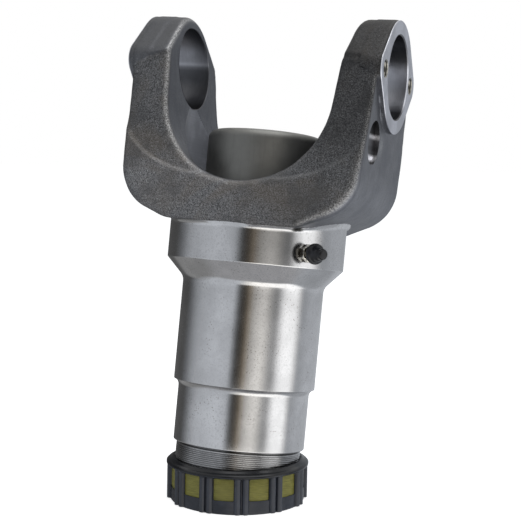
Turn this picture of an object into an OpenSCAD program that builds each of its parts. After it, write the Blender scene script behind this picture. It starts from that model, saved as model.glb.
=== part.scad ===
// Slip yoke of a heavy drive shaft: one forging with two bored ears above a
// turned sleeve, splined inside and threaded at its foot. A drawn cup closes the
// sleeve between the ears, a grease nipple stands on the collar, and a windowed
// plastic cap holds the shaft seal on the thread.
// The sleeve's axis is Z, the cross bore's axis is parallel to X, and the origin
// is the centre of the cap's foot.

/* [Cross bore and ears] */
// Height of the cross bore's axis above the cap's foot
bore_height = 258.5; // [257:0.5:262]
// Radius of the bore that takes a bearing cup
bore_radius = 24.6; // [23:0.1:25.5]
// Distance between the machined faces of the two ears
ear_span = 154.8; // [153:0.2:158]
// Height of a machined face above the forged flank
face_rise = 2.2; // [1.5:0.1:3]
// Radius of the round head of an ear
head_radius = 33.4; // [32.6:0.2:34.4]
// Radius of the lobes beside the head, round the tapped holes
lobe_radius = 10; // [9:0.25:11]
// Distance between the two tapped holes of an ear
bolt_spacing = 63; // [62:0.5:65]
// Core diameter of the tapped holes
bolt_hole = 9.5; // [8:0.1:10]
// Depth of the tapped holes
bolt_depth = 19; // [14:0.5:21]
// Bevel at the mouths of the cross bore and the tapped holes
mouth_bevel = 0.6; // [0.3:0.1:1]

/* [Fork] */
// Radius of the saddle between the ears
saddle_radius = 50.5; // [49.8:0.1:51.2]
// Depth of the saddle's centre below the cross bore
saddle_drop = 19; // [17:0.5:20]
// Outward lean of the ears' inner faces, in degrees
inner_draft = 5.14; // [4:0.1:6]
// Half depth of the forging at the cross bore, front to back
half_depth = 41.5; // [40.5:0.1:42.5]
// Lean of the front and back faces, in degrees
face_draft = 7.7; // [7:0.1:8.5]
// Depth of the fork's underside below the cross bore
fork_drop = 94; // [93:0.5:95]
// Radius of the fork's lower corners
corner_radius = 27.6; // [25:0.2:29]
// Height of the lower corners' centres above the underside
corner_rise = 32; // [30:0.5:34]
// Depth of the drawn-in panels on the front and back of the ears
panel_depth = 1.5; // [0.8:0.1:2]
// Rounding of the saddle's front and back edges
saddle_edge = 4; // [3:0.1:5]
// Rounding of the inner edge of each ear's head
head_edge = 4.5; // [3.5:0.1:5]
// Radius of the turned clearance round the plug
clearance_radius = 49.5; // [48.5:0.1:49.8]
// Rounding at the floor of the turned clearance
clearance_fillet = 8; // [6:0.5:10]
// Radius of the balancing drill spot on one flank
balance_radius = 11.8; // [10:0.2:12.5]
// Depth of the balancing drill spot at its rim
balance_depth = 2.6; // [1.5:0.1:4]

/* [Sleeve] */
// Radius of the collar under the fork
collar_radius = 53; // [52:0.2:53.4]
// Height of the collar's lower edge above the cap's foot
collar_height = 142.7; // [141:0.1:145]
// Radius of the sleeve's upper part
sleeve_radius = 42.4; // [41:0.1:43.5]
// Radius of the sleeve's lower part
lower_radius = 39.35; // [38.8:0.05:40.2]
// Height of the step between the two parts
step_height = 67.7; // [60:0.1:90]
// Outer radius of the thread
thread_radius = 37.4; // [37:0.05:37.6]
// Height of the sleeve's open end
sleeve_foot = 10; // [9.5:0.1:10.5]

/* [Splines] */
// Number of spline spaces, an even number
spline_count = 16; // [12:2:20]
// Radius over the spline spaces
spline_major = 31.9; // [31:0.1:32.2]
// Radius inside the spline teeth
spline_minor = 27.2; // [26:0.1:28.5]
// Width of a spline space
spline_space = 6.2; // [4.5:0.1:6.6]
// Height where the splines end inside the sleeve
spline_top = 158; // [150:0.5:162]

/* [Plug] */
// Radius of the drawn cup that closes the sleeve
plug_radius = 35; // [34.5:0.1:36]
// Height of the cup's crown above the cap's foot
plug_crown = 220.9; // [214:0.1:224]
// Wall of the drawn cup
plug_wall = 2.5; // [1.5:0.1:3]
// Outer rounding of the crown's edge
plug_round = 5; // [4:0.1:7]

/* [Grease nipple] */
// Turn of the nipple from the front towards the right, in degrees
nipple_turn = 51; // [30:1:60]
// Height of the nipple above the cap's foot
nipple_height = 152; // [151:0.1:154]
// Width across the flats of the nipple's hexagon
nipple_hex = 9; // [8:0.5:9.5]

/* [Thread cap] */
// Radius of the cap's wall
cap_radius = 40.3; // [40.1:0.05:40.8]
// Radius of the cap's rim flange
rim_radius = 42.6; // [42:0.1:43.5]
// Height of the whole cap
cap_height = 25.4; // [24.8:0.1:27]
// Number of windows round the cap
window_count = 12; // [8:1:14]
// Half angle of a window, in degrees
window_half = 8.5; // [6:0.25:8.75]
// Height of the windows' lower edge
window_foot = 8; // [7:0.1:9]
// Height of the windows' upper edge
window_top = 20.6; // [18:0.1:21]
// Radius of the half-round beads between the windows
bead_radius = 2; // [1.6:0.1:2.1]
// Radius of the opening in the cap's foot
cap_opening = 32.8; // [32.4:0.1:34]

/* [Hidden] */
$fn = 96;
slack = 0.05;
past = 1;

// The ears, seen along the cross bore
half_span = ear_span / 2;
flank = half_span - face_rise;
bolt_y = bolt_spacing / 2;
tangent_turn = acos((head_radius - lobe_radius) / bolt_y);
barrel_radius = head_radius - 1.2;

// The saddle and the lean of the inner faces
saddle_tangent_x = saddle_radius * cos(inner_draft);
saddle_tangent_z = -saddle_drop - saddle_radius * sin(inner_draft);
inner_face_x = saddle_tangent_x - saddle_tangent_z * tan(inner_draft);
gap_top = 45;
flank_lean = 1.7;
corner_x = flank - flank_lean - corner_radius;
corner_z = corner_rise - fork_drop;
corner_edge = 7.5;
pad_x = corner_x - 6.6;
pad_edge = 2;

// The curved lower border of the ear panels, a quarter ellipse
panel_center = [18, -30];
panel_size = [57, 38];
panel_steps = 14;

// The balancing drill spot
balance_place = [-28.5, -42.3];
balance_cone = 2.4;

// Heights along the sleeve, from the cap's foot
fork_foot = bore_height - fork_drop;
collar_fillet = 3.2;
blend_rise = 1.9;
cone_foot = 131.6;
cone_fillet = 5;
step_bevel = 2.8;
groove_top = 34.4;
groove_foot = 32.2;
groove_radius = 36.1;
end_bevel = 1.2;
relief_radius = 32.5;
plug_seat = 178;
clearance_floor = 190;

// The nipple, measured outwards from the collar's surface
nipple_seat = collar_radius - 1.4;
nipple_thread = 4;
nipple_reach = 12;
spot_radius = 7;
hex_height = 6;
neck_radius = 2.6;
head_start = 9;
head_end = 14.5;
nipple_head = 3.3;
chamber_radius = 1.75;
port_radius = 1;
ball_radius = 1.45;
spring_wire = 0.3;
spring_turns = 5;
spring_steps = 14;
cap_flange = 6;
cap_nub = 3.2;
cap_tip = 19.5;

// The thread cap and the seal ring inside it
foot_wall = 2.5;
band_bore = 38.5;
wall_bore = 39.6;
thread_bore = thread_radius + slack;
rim_foot = 20.8;
rim_top = 23.2;
window_turn = 8.4;
bead_offset = 2.3;
bead_foot = 0.4;
seal_bore = 32.2;

// Moves from the cap's foot to the axis of the cross bore
module at_bore() {
    translate([0, 0, bore_height]) children();
}

// Lays a solid of revolution along X, with its start at the given place
module along_x(place) {
    translate(place) rotate([0, 90, 0]) children();
}

// Draws its children on the right and again on the left
module both_ears() {
    children();
    mirror([1, 0, 0]) children();
}

// Draws its children at the front and again at the back
module both_faces() {
    children();
    mirror([0, 1, 0]) children();
}

// Outward axes at the nipple: X leaves the sleeve, at the nipple's height
module at_nipple() {
    rotate([0, 0, nipple_turn - 90]) translate([0, 0, nipple_height]) children();
}

// Points of an arc about a centre, from one angle to another
function arc(center, radius, from, to, steps = 5) = [
    for (i = [0 : steps])
        let (a = from + (to - from) * i / steps)
        center + radius * [cos(a), sin(a)]
];

// Ring with a round section, the rim of a disc with rounded edges
module rim_ring(radius, edge) {
    rotate_extrude($fn = 40) translate([radius - edge, 0]) circle(r = edge, $fn = 20);
}

// Forged envelope of the fork before the gap is cut
module fork_blank() {
    lobe_edge = 2.2;
    head_rim = 1.6;
    depth_at_corner = half_depth - corner_z * tan(face_draft);
    depth_at_foot = half_depth + fork_drop * tan(face_draft);
    hull() {
        for (side = [-1, 1]) {
            along_x([side * (flank - head_rim), 0, 0]) rim_ring(barrel_radius, head_rim);
            for (y = [-1, 1]) {
                along_x([side * (flank - lobe_edge), y * (bolt_y - 0.2), -1])
                    rim_ring(lobe_radius, lobe_edge);
                translate([side * corner_x, y * (depth_at_corner - corner_edge), corner_z])
                    rotate([90, 0, 0]) rim_ring(corner_radius, corner_edge);
                translate([side * pad_x, y * (depth_at_foot - pad_edge), pad_edge - fork_drop])
                    sphere(r = pad_edge, $fn = 24);
            }
        }
    }
}

// Outline of the gap between the ears, grown by an amount, as a slab along Y
module gap_slab(depth, grow = 0) {
    rotate([90, 0, 0]) {
        translate([0, -saddle_drop, -depth / 2]) cylinder(r = saddle_radius + grow, h = depth);
        linear_extrude(height = depth, center = true)
            polygon([
                [-saddle_tangent_x - grow, saddle_tangent_z],
                [saddle_tangent_x + grow, saddle_tangent_z],
                [inner_face_x + gap_top * tan(inner_draft) + grow, gap_top],
                [-inner_face_x - gap_top * tan(inner_draft) - grow, gap_top]
            ]);
    }
}

// Frame of the front panels: Y points out of the panel, Z runs up along it
module at_panel() {
    translate([0, panel_depth - half_depth, 0]) rotate([-face_draft, 0, 0]) children();
}

// Bell mouth that rounds the saddle's edge on the front
module saddle_mouth() {
    thin = 0.02;
    for (step = [[saddle_edge + 0.3, -0.3, 0.32 * saddle_edge, 0.3 * saddle_edge],
                 [0.32 * saddle_edge, 0.3 * saddle_edge, -2.4, saddle_edge + 2.2]])
        hull() {
            at_panel() translate([0, step[0], 0]) gap_slab(thin, step[1], $fn = 64);
            at_panel() translate([0, step[2], 0]) gap_slab(thin, step[3], $fn = 64);
        }
}

// Drawn-in panel over both ears on the front, down to its elliptical border
module ear_panel() {
    border = [for (i = [0 : panel_steps])
        let (a = 90 * i / panel_steps)
        [panel_center[0] + panel_size[0] * cos(a), panel_center[1] - panel_size[1] * sin(a)]];
    right = concat([[half_span + 5, gap_top], [half_span + 5, panel_center[1]]], border);
    left = [for (i = [len(right) - 1 : -1 : 0]) [-right[i][0], right[i][1]]];
    at_panel() rotate([90, 0, 0]) linear_extrude(height = 12) polygon(concat(right, left));
}

// What is taken off the inner edge of the right ear's head to round it
module head_rounding() {
    clear = 0.1;
    full = 1.2;
    difference() {
        translate([saddle_radius - 4, -half_depth - 8, -9]) cube([13.5, 2 * half_depth + 16, gap_top]);
        translate([inner_face_x - clear, 0, 0]) rotate([0, inner_draft, 0]) hull() {
            along_x([head_edge, 0, 0]) rim_ring(barrel_radius, head_edge);
            along_x([2 * head_edge, 0, 0]) cylinder(r = barrel_radius + full, h = 14, $fn = 48);
            for (y = [-1, 1]) {
                along_x([head_edge * 0.8, y * bolt_y, 0]) rim_ring(lobe_radius, head_edge * 0.8);
                along_x([2 * head_edge, y * bolt_y, 0])
                    cylinder(r = lobe_radius + full, h = 14, $fn = 40);
            }
            translate([0, -half_depth - 12, -50]) cube([23, 2 * half_depth + 24, 24]);
        }
    }
}

// Clearance turned round the plug, with a rounded floor corner
module turned_clearance() {
    floor_z = clearance_floor - bore_height;
    corner = [clearance_radius - clearance_fillet, floor_z + clearance_fillet];
    rotate_extrude() polygon(concat(
        [[0, -saddle_drop], [0, floor_z]],
        arc(corner, clearance_fillet, -90, 0, 6),
        [[clearance_radius, -saddle_drop]]
    ));
}

// Machined face of the right ear: head, two lobes and the flats between them
module machined_face() {
    near = [head_radius * cos(tangent_turn), head_radius * sin(tangent_turn)];
    far = [bolt_y + lobe_radius * cos(tangent_turn), lobe_radius * sin(tangent_turn)];
    depth = face_rise + 1.8;
    along_x([half_span - depth, 0, 0]) {
        cylinder(r = head_radius, h = depth);
        for (y = [-1, 1]) translate([0, y * bolt_y, 0]) cylinder(r = lobe_radius, h = depth);
        linear_extrude(height = depth) polygon([
            [near[1], near[0]], [far[1], far[0]], [-far[1], far[0]], [-near[1], near[0]],
            [-near[1], -near[0]], [-far[1], -far[0]], [far[1], -far[0]], [near[1], -near[0]]
        ]);
    }
}

// Half of the cross bore, in the right ear, with a bevel at both mouths
module ear_bore() {
    inner_mouth = inner_face_x - bore_radius * tan(inner_draft);
    along_x([inner_mouth - 8, 0, 0]) cylinder(r = bore_radius, h = half_span);
    along_x([half_span - mouth_bevel, 0, 0])
        cylinder(r1 = bore_radius, r2 = bore_radius + mouth_bevel + past, h = mouth_bevel + past);
}

// The two tapped holes of the right ear, with the drill's point
module ear_bolt_holes() {
    hole_radius = bolt_hole / 2;
    for (y = [-1, 1]) {
        along_x([half_span - bolt_depth, y * bolt_y, 0]) cylinder(r = hole_radius, h = bolt_depth + past);
        along_x([half_span - bolt_depth - 2.4, y * bolt_y, 0])
            cylinder(r1 = 0.4, r2 = hole_radius, h = 2.4);
        along_x([half_span - mouth_bevel, y * bolt_y, 0])
            cylinder(r1 = hole_radius, r2 = hole_radius + mouth_bevel + past, h = mouth_bevel + past);
    }
}

// Shallow drilling with a coned floor on the right flank, made in balancing
module balance_drilling() {
    place = [flank - flank_lean / 3 - balance_depth, balance_place[0], balance_place[1]];
    along_x(place) cylinder(r = balance_radius, h = balance_depth + 5);
    along_x(place - [balance_cone, 0, 0]) cylinder(r1 = 0.5, r2 = balance_radius, h = balance_cone);
}

// Turned outside of the sleeve, from its threaded foot up into the fork
module sleeve_body() {
    rotate_extrude() polygon(concat(
        [[0, sleeve_foot]],
        [[thread_radius - end_bevel, sleeve_foot], [thread_radius, sleeve_foot + end_bevel]],
        [[thread_radius, groove_foot - end_bevel], [thread_radius - end_bevel, groove_foot]],
        [[groove_radius, groove_foot], [groove_radius, groove_top - 1.6]],
        arc([lower_radius - 1, groove_top - 0.6], 1, -60, 0, 3),
        [[lower_radius, step_height]],
        [[sleeve_radius, step_height + step_bevel]],
        [[sleeve_radius, cone_foot - cone_fillet * tan(22.5)]],
        arc([sleeve_radius + cone_fillet, cone_foot - cone_fillet * tan(22.5)], cone_fillet, 180, 135, 4),
        arc([collar_radius - 1, collar_height + 0.4], 1, -45, 0, 3),
        [[collar_radius, fork_foot + 4], [collar_radius - 12, fork_foot + 9], [0, fork_foot + 9]]
    ));
}

// Hollow blend from the collar into the fork's sloped underside, left and right
module collar_blend() {
    center = [collar_radius + collar_fillet, fork_foot + blend_rise];
    intersection() {
        rotate_extrude() polygon(concat(
            [[collar_radius - 2, center[1]]],
            arc(center, collar_fillet, 180, 113, 5),
            [[collar_radius - 2, center[1] + collar_fillet + 3]]
        ));
        translate([0, 0, fork_foot + 4])
            cube([4 * collar_radius, 2 * collar_radius - 0.4, 14], center = true);
    }
}

// Splined bore, relief and seat for the plug, cut from below
module sleeve_bore() {
    spline_length = spline_top - sleeve_foot + past;
    translate([0, 0, sleeve_foot - past]) {
        cylinder(r = spline_minor, h = spline_length);
        intersection() {
            cylinder(r = spline_major, h = spline_length);
            for (i = [0 : spline_count / 2 - 1])
                rotate([0, 0, 360 * i / spline_count])
                    translate([-spline_major - past, -spline_space / 2, 0])
                        cube([2 * (spline_major + past), spline_space, spline_length]);
        }
    }
    translate([0, 0, sleeve_foot - past])
        cylinder(r1 = spline_major + past + end_bevel, r2 = spline_major - 1.4, h = past + end_bevel + 1.4);
    translate([0, 0, spline_top]) cylinder(r = relief_radius, h = plug_seat - spline_top + past);
    translate([0, 0, plug_seat]) cylinder(r = plug_radius, h = clearance_floor - plug_seat + past);
}

// Spotface, tapped hole and grease passage in the collar
module nipple_hole() {
    at_nipple() {
        along_x([nipple_seat, 0, 0]) cylinder(r = spot_radius, h = 6);
        along_x([nipple_seat - nipple_reach, 0, 0]) cylinder(r = nipple_thread, h = nipple_reach + past);
        along_x([relief_radius - 4, 0, 0])
            cylinder(r = port_radius * 2, h = nipple_seat - relief_radius, $fn = 48);
    }
}

// The forging with everything that is machined into it
module forged_yoke() {
    color([0.34, 0.35, 0.38])
    difference() {
        union() {
            at_bore() difference() {
                fork_blank();
                gap_slab(2 * fork_drop);
                both_faces() {
                    saddle_mouth();
                    ear_panel();
                }
                both_ears() head_rounding();
            }
            at_bore() both_ears() machined_face();
            sleeve_body();
            collar_blend();
        }
        at_bore() {
            turned_clearance();
            both_ears() {
                ear_bore();
                ear_bolt_holes();
            }
            balance_drilling();
        }
        sleeve_bore();
        nipple_hole();
    }
}

// Cup drawn from sheet, pressed into the sleeve with its crown upwards
module core_plug() {
    inner = plug_radius - plug_wall;
    bend = plug_round - plug_wall;
    color([0.27, 0.28, 0.31])
    rotate_extrude() polygon(concat(
        [[0, plug_crown]],
        arc([plug_radius - plug_round, plug_crown - plug_round], plug_round, 90, 0, 7),
        [[plug_radius, plug_seat + 0.8], [plug_radius - 0.8, plug_seat], [inner, plug_seat]],
        arc([inner - bend, plug_crown - plug_wall - bend], bend, 0, 90, 6),
        [[0, plug_crown - plug_wall]]
    ));
}

// Hexagon nipple with a necked head, hollow for its ball and spring
module grease_nipple() {
    color([0.72, 0.7, 0.66])
    at_nipple() difference() {
        union() {
            along_x([nipple_seat - nipple_reach + 1, 0, 0])
                cylinder(r = nipple_thread - slack, h = nipple_reach);
            along_x([nipple_seat, 0, 0])
                cylinder(r = nipple_hex / sqrt(3), h = hex_height, $fn = 6);
            along_x([nipple_seat, 0, 0]) rotate_extrude() polygon([
                [0, 0], [nipple_head, hex_height - 0.5], [nipple_head, hex_height + 0.8],
                [neck_radius, hex_height + 1.6], [neck_radius, head_start + 0.4],
                [nipple_head, head_start + 1.4], [nipple_head, head_end - 2],
                [1.9, head_end], [0, head_end]
            ]);
        }
        along_x([nipple_seat - nipple_reach, 0, 0])
            cylinder(r = chamber_radius, h = nipple_reach + head_end - 2.5, $fn = 48);
        along_x([nipple_seat + head_end - 3, 0, 0]) cylinder(r = port_radius, h = 4, $fn = 48);
    }
}

// Check ball that closes the nipple's port from inside
module nipple_ball() {
    color([0.8, 0.8, 0.82])
    at_nipple() translate([nipple_seat + head_end - 2.5 - ball_radius, 0, 0])
        sphere(r = ball_radius, $fn = 48);
}

// Coil spring behind the ball, one section swept along a helix
module nipple_spring() {
    coil_radius = chamber_radius - spring_wire - 0.1;
    length = 5.4;
    rings = spring_turns * spring_steps;
    sides = 6;
    points = [for (i = [0 : rings], j = [0 : sides - 1])
        let (turn = 360 * i / spring_steps, around = 360 * j / sides,
             r = coil_radius + spring_wire * cos(around))
        [i / rings * length + spring_wire * sin(around), r * cos(turn), r * sin(turn)]];
    walls = [for (i = [0 : rings - 1], j = [0 : sides - 1])
        let (k = (j + 1) % sides)
        [i * sides + j, i * sides + k, (i + 1) * sides + k, (i + 1) * sides + j]];
    ends = [[for (j = [sides - 1 : -1 : 0]) j], [for (j = [0 : sides - 1]) rings * sides + j]];
    color([0.6, 0.6, 0.62])
    at_nipple() translate([nipple_seat + head_end - 3.2 - 2 * ball_radius - length, 0, 0])
        polyhedron(points = points, faces = concat(walls, ends), convexity = 6);
}

// Push-on dust cap with a flange and a rounded nub
module nipple_cap() {
    grip = nipple_head + slack;
    color([0.08, 0.08, 0.09])
    at_nipple() along_x([nipple_seat, 0, 0]) rotate_extrude() polygon(concat(
        [[grip, head_start + 0.6], [cap_flange - 0.6, head_start + 0.6]],
        [[cap_flange, head_start + 1.2], [cap_flange, head_start + 2.4]],
        [[cap_flange - 0.7, head_start + 3], [cap_nub + 1.2, head_start + 3.4]],
        [[cap_nub + 0.6, head_end + 1.2]],
        arc([cap_nub - 1.6, cap_tip - 1.6], 1.6, 0, 90, 4),
        [[0, cap_tip], [0, head_end + 0.3], [grip, head_end + 0.3]]
    ));
}

// Windowed plastic cap on the thread, with beads between the windows
module thread_cap() {
    pitch = 360 / window_count;
    window_width = 2 * cap_radius * sin(window_half);
    color([0.09, 0.1, 0.13]) {
        difference() {
            union() {
                rotate_extrude() polygon(concat(
                    [[cap_opening, 0], [cap_radius - 0.8, 0], [cap_radius, 0.8], [cap_radius, rim_foot]],
                    [[rim_radius, rim_foot + 0.5], [rim_radius, rim_top - 1]],
                    arc([rim_radius - 1.4, rim_top - 1], 1.4, 0, 70, 4),
                    [[thread_bore + 1.6, cap_height], [thread_bore, cap_height]],
                    [[thread_bore, window_top + 0.6], [wall_bore, window_top + 0.6]],
                    [[wall_bore, sleeve_foot - 1], [band_bore, sleeve_foot - 1]],
                    [[band_bore, foot_wall], [cap_opening, foot_wall]]
                ));
                for (i = [0 : window_count - 1], side = [-1, 1])
                    rotate([0, 0, window_turn - 90 + pitch * (i + 0.5)])
                        translate([cap_radius - 0.2, side * bead_offset, bead_foot])
                            difference() {
                                cylinder(r = bead_radius, h = rim_foot + 1 - bead_foot);
                                translate([-2 * bead_radius, -2 * bead_radius, -past])
                                    cube([2 * bead_radius - 0.3, 4 * bead_radius, cap_height]);
                            }
            }
            for (i = [0 : window_count - 1])
                rotate([0, 0, window_turn - 90 + pitch * i])
                    translate([band_bore - 1.2, -window_width / 2, window_foot])
                        cube([8, window_width, window_top - window_foot]);
        }
    }
}

// Angle-section seal ring: a skirt round the thread and a lip under the sleeve
module seal_ring() {
    color([0.5, 0.49, 0.27])
    rotate_extrude() polygon([
        [seal_bore, foot_wall + 1.2], [seal_bore + 0.9, foot_wall],
        [band_bore - slack, foot_wall], [band_bore - slack, sleeve_foot - 1 + slack],
        [wall_bore - slack, sleeve_foot - 1 + slack], [wall_bore - slack, window_top + 0.4],
        [thread_radius + slack, window_top + 0.4], [thread_radius + slack, sleeve_foot],
        [seal_bore + 1.4, sleeve_foot], [seal_bore, sleeve_foot - 2]
    ]);
}

forged_yoke();
core_plug();
grease_nipple();
nipple_ball();
nipple_spring();
nipple_cap();
thread_cap();
seal_ring();
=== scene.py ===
"""Looks of a forged drive-shaft slip yoke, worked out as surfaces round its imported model.

All shapes are computed in millimetres and put into the meshes in metres. Heights on the
fork are measured from the cross bore's axis, and heights on the sleeve from the cap's foot.
"""

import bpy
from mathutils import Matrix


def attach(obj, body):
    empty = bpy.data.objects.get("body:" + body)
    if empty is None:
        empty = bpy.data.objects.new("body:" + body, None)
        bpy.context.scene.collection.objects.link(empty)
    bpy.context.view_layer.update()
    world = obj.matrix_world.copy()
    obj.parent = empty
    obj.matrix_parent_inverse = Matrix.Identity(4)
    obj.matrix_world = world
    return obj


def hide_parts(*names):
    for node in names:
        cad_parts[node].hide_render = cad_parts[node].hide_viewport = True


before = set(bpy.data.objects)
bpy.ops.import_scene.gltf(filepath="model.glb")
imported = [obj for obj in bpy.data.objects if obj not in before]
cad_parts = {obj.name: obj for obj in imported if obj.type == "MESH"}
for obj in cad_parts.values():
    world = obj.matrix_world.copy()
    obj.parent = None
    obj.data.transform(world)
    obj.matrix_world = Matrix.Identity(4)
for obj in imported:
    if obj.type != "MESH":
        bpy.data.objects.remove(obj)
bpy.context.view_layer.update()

import itertools
import math

import bmesh
import bpy
import numpy as np
from bpy.props import FloatProperty, FloatVectorProperty, IntProperty, PointerProperty
from mathutils import Matrix, Vector
from mathutils.geometry import delaunay_2d_cdt

bl_info = {
    "name": "Forged Slip Yoke",
    "version": (1, 0, 0),
    "blender": (4, 5, 0),
    "location": "View3D > Sidebar > Yoke",
    "description": "Builds a forged slip yoke with its plug, grease nipple, thread cap and seal",
    "category": "Object",
}

# A millimetre in metres, the height of the cross bore's axis above the cap's foot, and the
# body that every piece rides on
MM = 0.001
BORE_HEIGHT = 258.5
BODY = "root"

# The balance drilling in the right flank: its place in Y, its height from the cross bore's
# axis, and its radius
BALANCE = (-27.6, -41.7, 12.5)

# Painted light and shade in a round cut, from its floor to its crown: shares of its height,
# brightness.
# The bores' height is that of their bands, in metres
BORE_SPAN = 0.0498
DRILL_SHADING = [
    (0.0, 0.05), (0.07, 0.06), (0.15, 0.80), (0.32, 0.80), (0.37, 0.50),
    (0.43, 0.50), (0.48, 0.85), (0.68, 0.75), (0.74, 0.05), (1.0, 0.04),
]
RIGHT_BORE_SHADING = [
    (0.0, 0.12), (0.13, 0.15), (0.23, 0.95), (0.28, 1.0), (0.40, 0.78),
    (0.52, 0.82), (0.62, 1.0), (0.67, 0.95), (0.76, 0.36), (1.0, 0.18),
]
LEFT_BORE_SHADING = [
    (0.0, 0.08), (0.10, 0.12), (0.22, 0.19), (0.34, 0.16), (0.46, 0.14), (0.56, 0.17),
    (0.60, 0.28), (0.635, 0.60), (0.67, 0.44), (0.78, 0.40), (0.90, 0.28), (1.0, 0.14),
]


# Sizes and colours -----------------------------------------------------------------------


def length(name, description, default):
    """A length property, kept in metres."""
    return FloatProperty(
        name=name, description=description, default=default, unit="LENGTH", precision=5
    )


def colour(name, description, default):
    """A colour property, as linear light."""
    return FloatVectorProperty(
        name=name, description=description, default=default, subtype="COLOR", min=0, max=1
    )


def angle(name, description, degrees):
    """An angle property, given in degrees."""
    return FloatProperty(
        name=name, description=description, default=math.radians(degrees), subtype="ANGLE"
    )


def number(name, description, default, low, high):
    """A count property with its limits."""
    return IntProperty(name=name, description=description, default=default, min=low, max=high)


def level(name, description, default):
    """A property for how strong a light is."""
    return FloatProperty(name=name, description=description, default=default, min=0)


class ForkSizes(bpy.types.PropertyGroup):
    """Sizes of the fork, its ears and the collar under it."""

    bore_radius: length("Bore radius", "Radius of the bore that takes a bearing cup", 0.0246)
    ear_span: length("Ear span", "Distance between the machined faces", 0.1548)
    face_rise: length("Face rise", "Height of a machined face above the flank", 0.0022)
    head_radius: length("Head radius", "Radius of the round head of the right ear", 0.0331)
    left_head_radius: length("Left head radius", "Radius of the left ear's head", 0.0313)
    lobe_radius: length("Lobe radius", "Radius of the lobes round the tapped holes", 0.010)
    bolt_spacing: length("Bolt spacing", "Distance between the tapped holes", 0.063)
    saddle_radius: length("Saddle radius", "Radius of the saddle between the ears", 0.0505)
    half_depth: length("Half depth", "Half the fork's depth at the cross bore", 0.0415)
    fork_drop: length("Fork drop", "Depth of the underside below the cross bore", 0.094)
    panel_depth: length("Panel depth", "Depth of the drawn-in panels of the ears", 0.0015)
    saddle_edge: length("Saddle edge", "Rounding of the saddle's front and back edges", 0.0042)
    collar_radius: length("Collar radius", "Radius of the collar under the fork", 0.053)
    lump_height: length("Lump height", "Height of the broad lumps in the forged skin", 0.00018)
    cell: length("Cell", "Mesh size of the forged skin", 0.00118)


class SleeveSizes(bpy.types.PropertyGroup):
    """Sizes of the turned sleeve and its thread."""

    sleeve_radius: length("Sleeve radius", "Radius of the sleeve's upper part", 0.0424)
    lower_radius: length("Lower radius", "Radius of the sleeve's lower part", 0.03935)
    step_height: length("Step height", "Height of the step between the two parts", 0.0677)
    thread_radius: length("Thread radius", "Outer radius of the thread", 0.0374)
    thread_pitch: length("Thread pitch", "Rise of the thread in one turn", 0.00108)
    thread_depth: length("Thread depth", "Depth of the thread's groove", 0.0006)
    spline_count: number("Spline count", "Number of spline spaces", 16, 8, 24)


class CapSizes(bpy.types.PropertyGroup):
    """Sizes of the windowed cap on the thread."""

    window_count: number("Window count", "Number of windows", 12, 6, 16)
    window_half: angle("Window half angle", "Half angle of a window", 8.5)
    window_turn: angle("Window turn", "Turn of the first window from the front", 8.4)
    bead_radius: length("Bead radius", "Radius of the beads between the windows", 0.002)
    lean: angle("Lean", "How far the cap leans to the camera's left on the thread", 4.27)
    lean_turn: angle("Lean turn", "Turn from the front of the axis of that lean", 18.956)
    nod: angle("Nod", "How far the cap dips towards the camera", 5.7)
    aside: length("Aside", "How far the cap sits to the camera's right", 0.00109)
    raised: length("Raised", "How far the middle of the askew cap is raised", 0.0019)
    cell: length("Cell", "Mesh size of the cap", 0.00046)


class FinishColours(bpy.types.PropertyGroup):
    """Colours of the finishes."""

    forged: colour("Forged steel", "Dark skin of the forging", (0.150, 0.152, 0.158))
    # Worn steel is also the colour of the painted highlights on the rubbed edges and along the
    # panels' crease
    worn: colour("Worn steel", "Bare steel where the skin has rubbed off", (0.46, 0.46, 0.46))
    machined: colour("Machined steel", "Milled and bored faces", (0.535, 0.545, 0.59))
    turned: colour("Turned steel", "Satin of the sleeve", (0.505, 0.505, 0.51))
    drawn: colour("Drawn steel", "Dark sheet of the plug", (0.185, 0.185, 0.175))
    plated: colour("Plated steel", "Bright plating of the nipple", (0.66, 0.64, 0.58))
    plastic: colour("Black plastic", "Blue-black moulding of the cap", (0.020, 0.023, 0.031))
    soft_plastic: colour("Soft plastic", "Dust cap of the nipple", (0.016, 0.017, 0.021))
    olive: colour("Olive seal", "Rubbery seal behind the windows", (0.300, 0.285, 0.062))


class StudioSettings(bpy.types.PropertyGroup):
    """The room round the object and its camera."""

    room_light: level("Room light", "Strength of the walls of light", 1.0)
    top_light: level("Top light", "Power of the overhead softbox in watts", 5.0)
    camera_turn: angle("Camera turn", "Turn of the camera from the front", 18.956)
    camera_distance: length("Camera distance", "Distance from the camera to its target", 0.79858)


GROUPS = {
    "yoke_fork": ForkSizes,
    "yoke_sleeve": SleeveSizes,
    "yoke_cap": CapSizes,
    "yoke_colours": FinishColours,
    "yoke_studio": StudioSettings,
}


# Surfaces --------------------------------------------------------------------------------


def smooth_step(value, low, high):
    """0 below low, 1 above high, and the curve 3t² - 2t³ between them."""
    t = np.clip((value - low) / (high - low), 0, 1)
    return t * t * (3 - 2 * t)


def round_max(a, b, radius):
    """Common part of two solids, whose meeting edge is rounded off with the radius."""
    return np.minimum(np.maximum(a, b), -radius) + np.hypot(
        np.maximum(a + radius, 0), np.maximum(b + radius, 0)
    )


def round_min(a, b, radius):
    """Union of two solids, whose meeting corner is filled out with the radius."""
    return np.maximum(np.minimum(a, b), radius) - np.hypot(
        np.maximum(radius - a, 0), np.maximum(radius - b, 0)
    )


def corner(u, v, centre, low, high, radius):
    """Distance to a convex corner: planes whose normals point at the angles low and high,
    joined by an arc about the centre. It is the largest of all planes in between."""
    du, dv = u - centre[0], v - centre[1]
    middle, half = np.radians(low + high) / 2, np.radians(high - low) / 2
    turn = (np.arctan2(dv, du) - middle + math.pi) % (2 * math.pi) - math.pi
    return np.hypot(du, dv) * np.cos(turn - np.clip(turn, -half, half)) - radius


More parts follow.
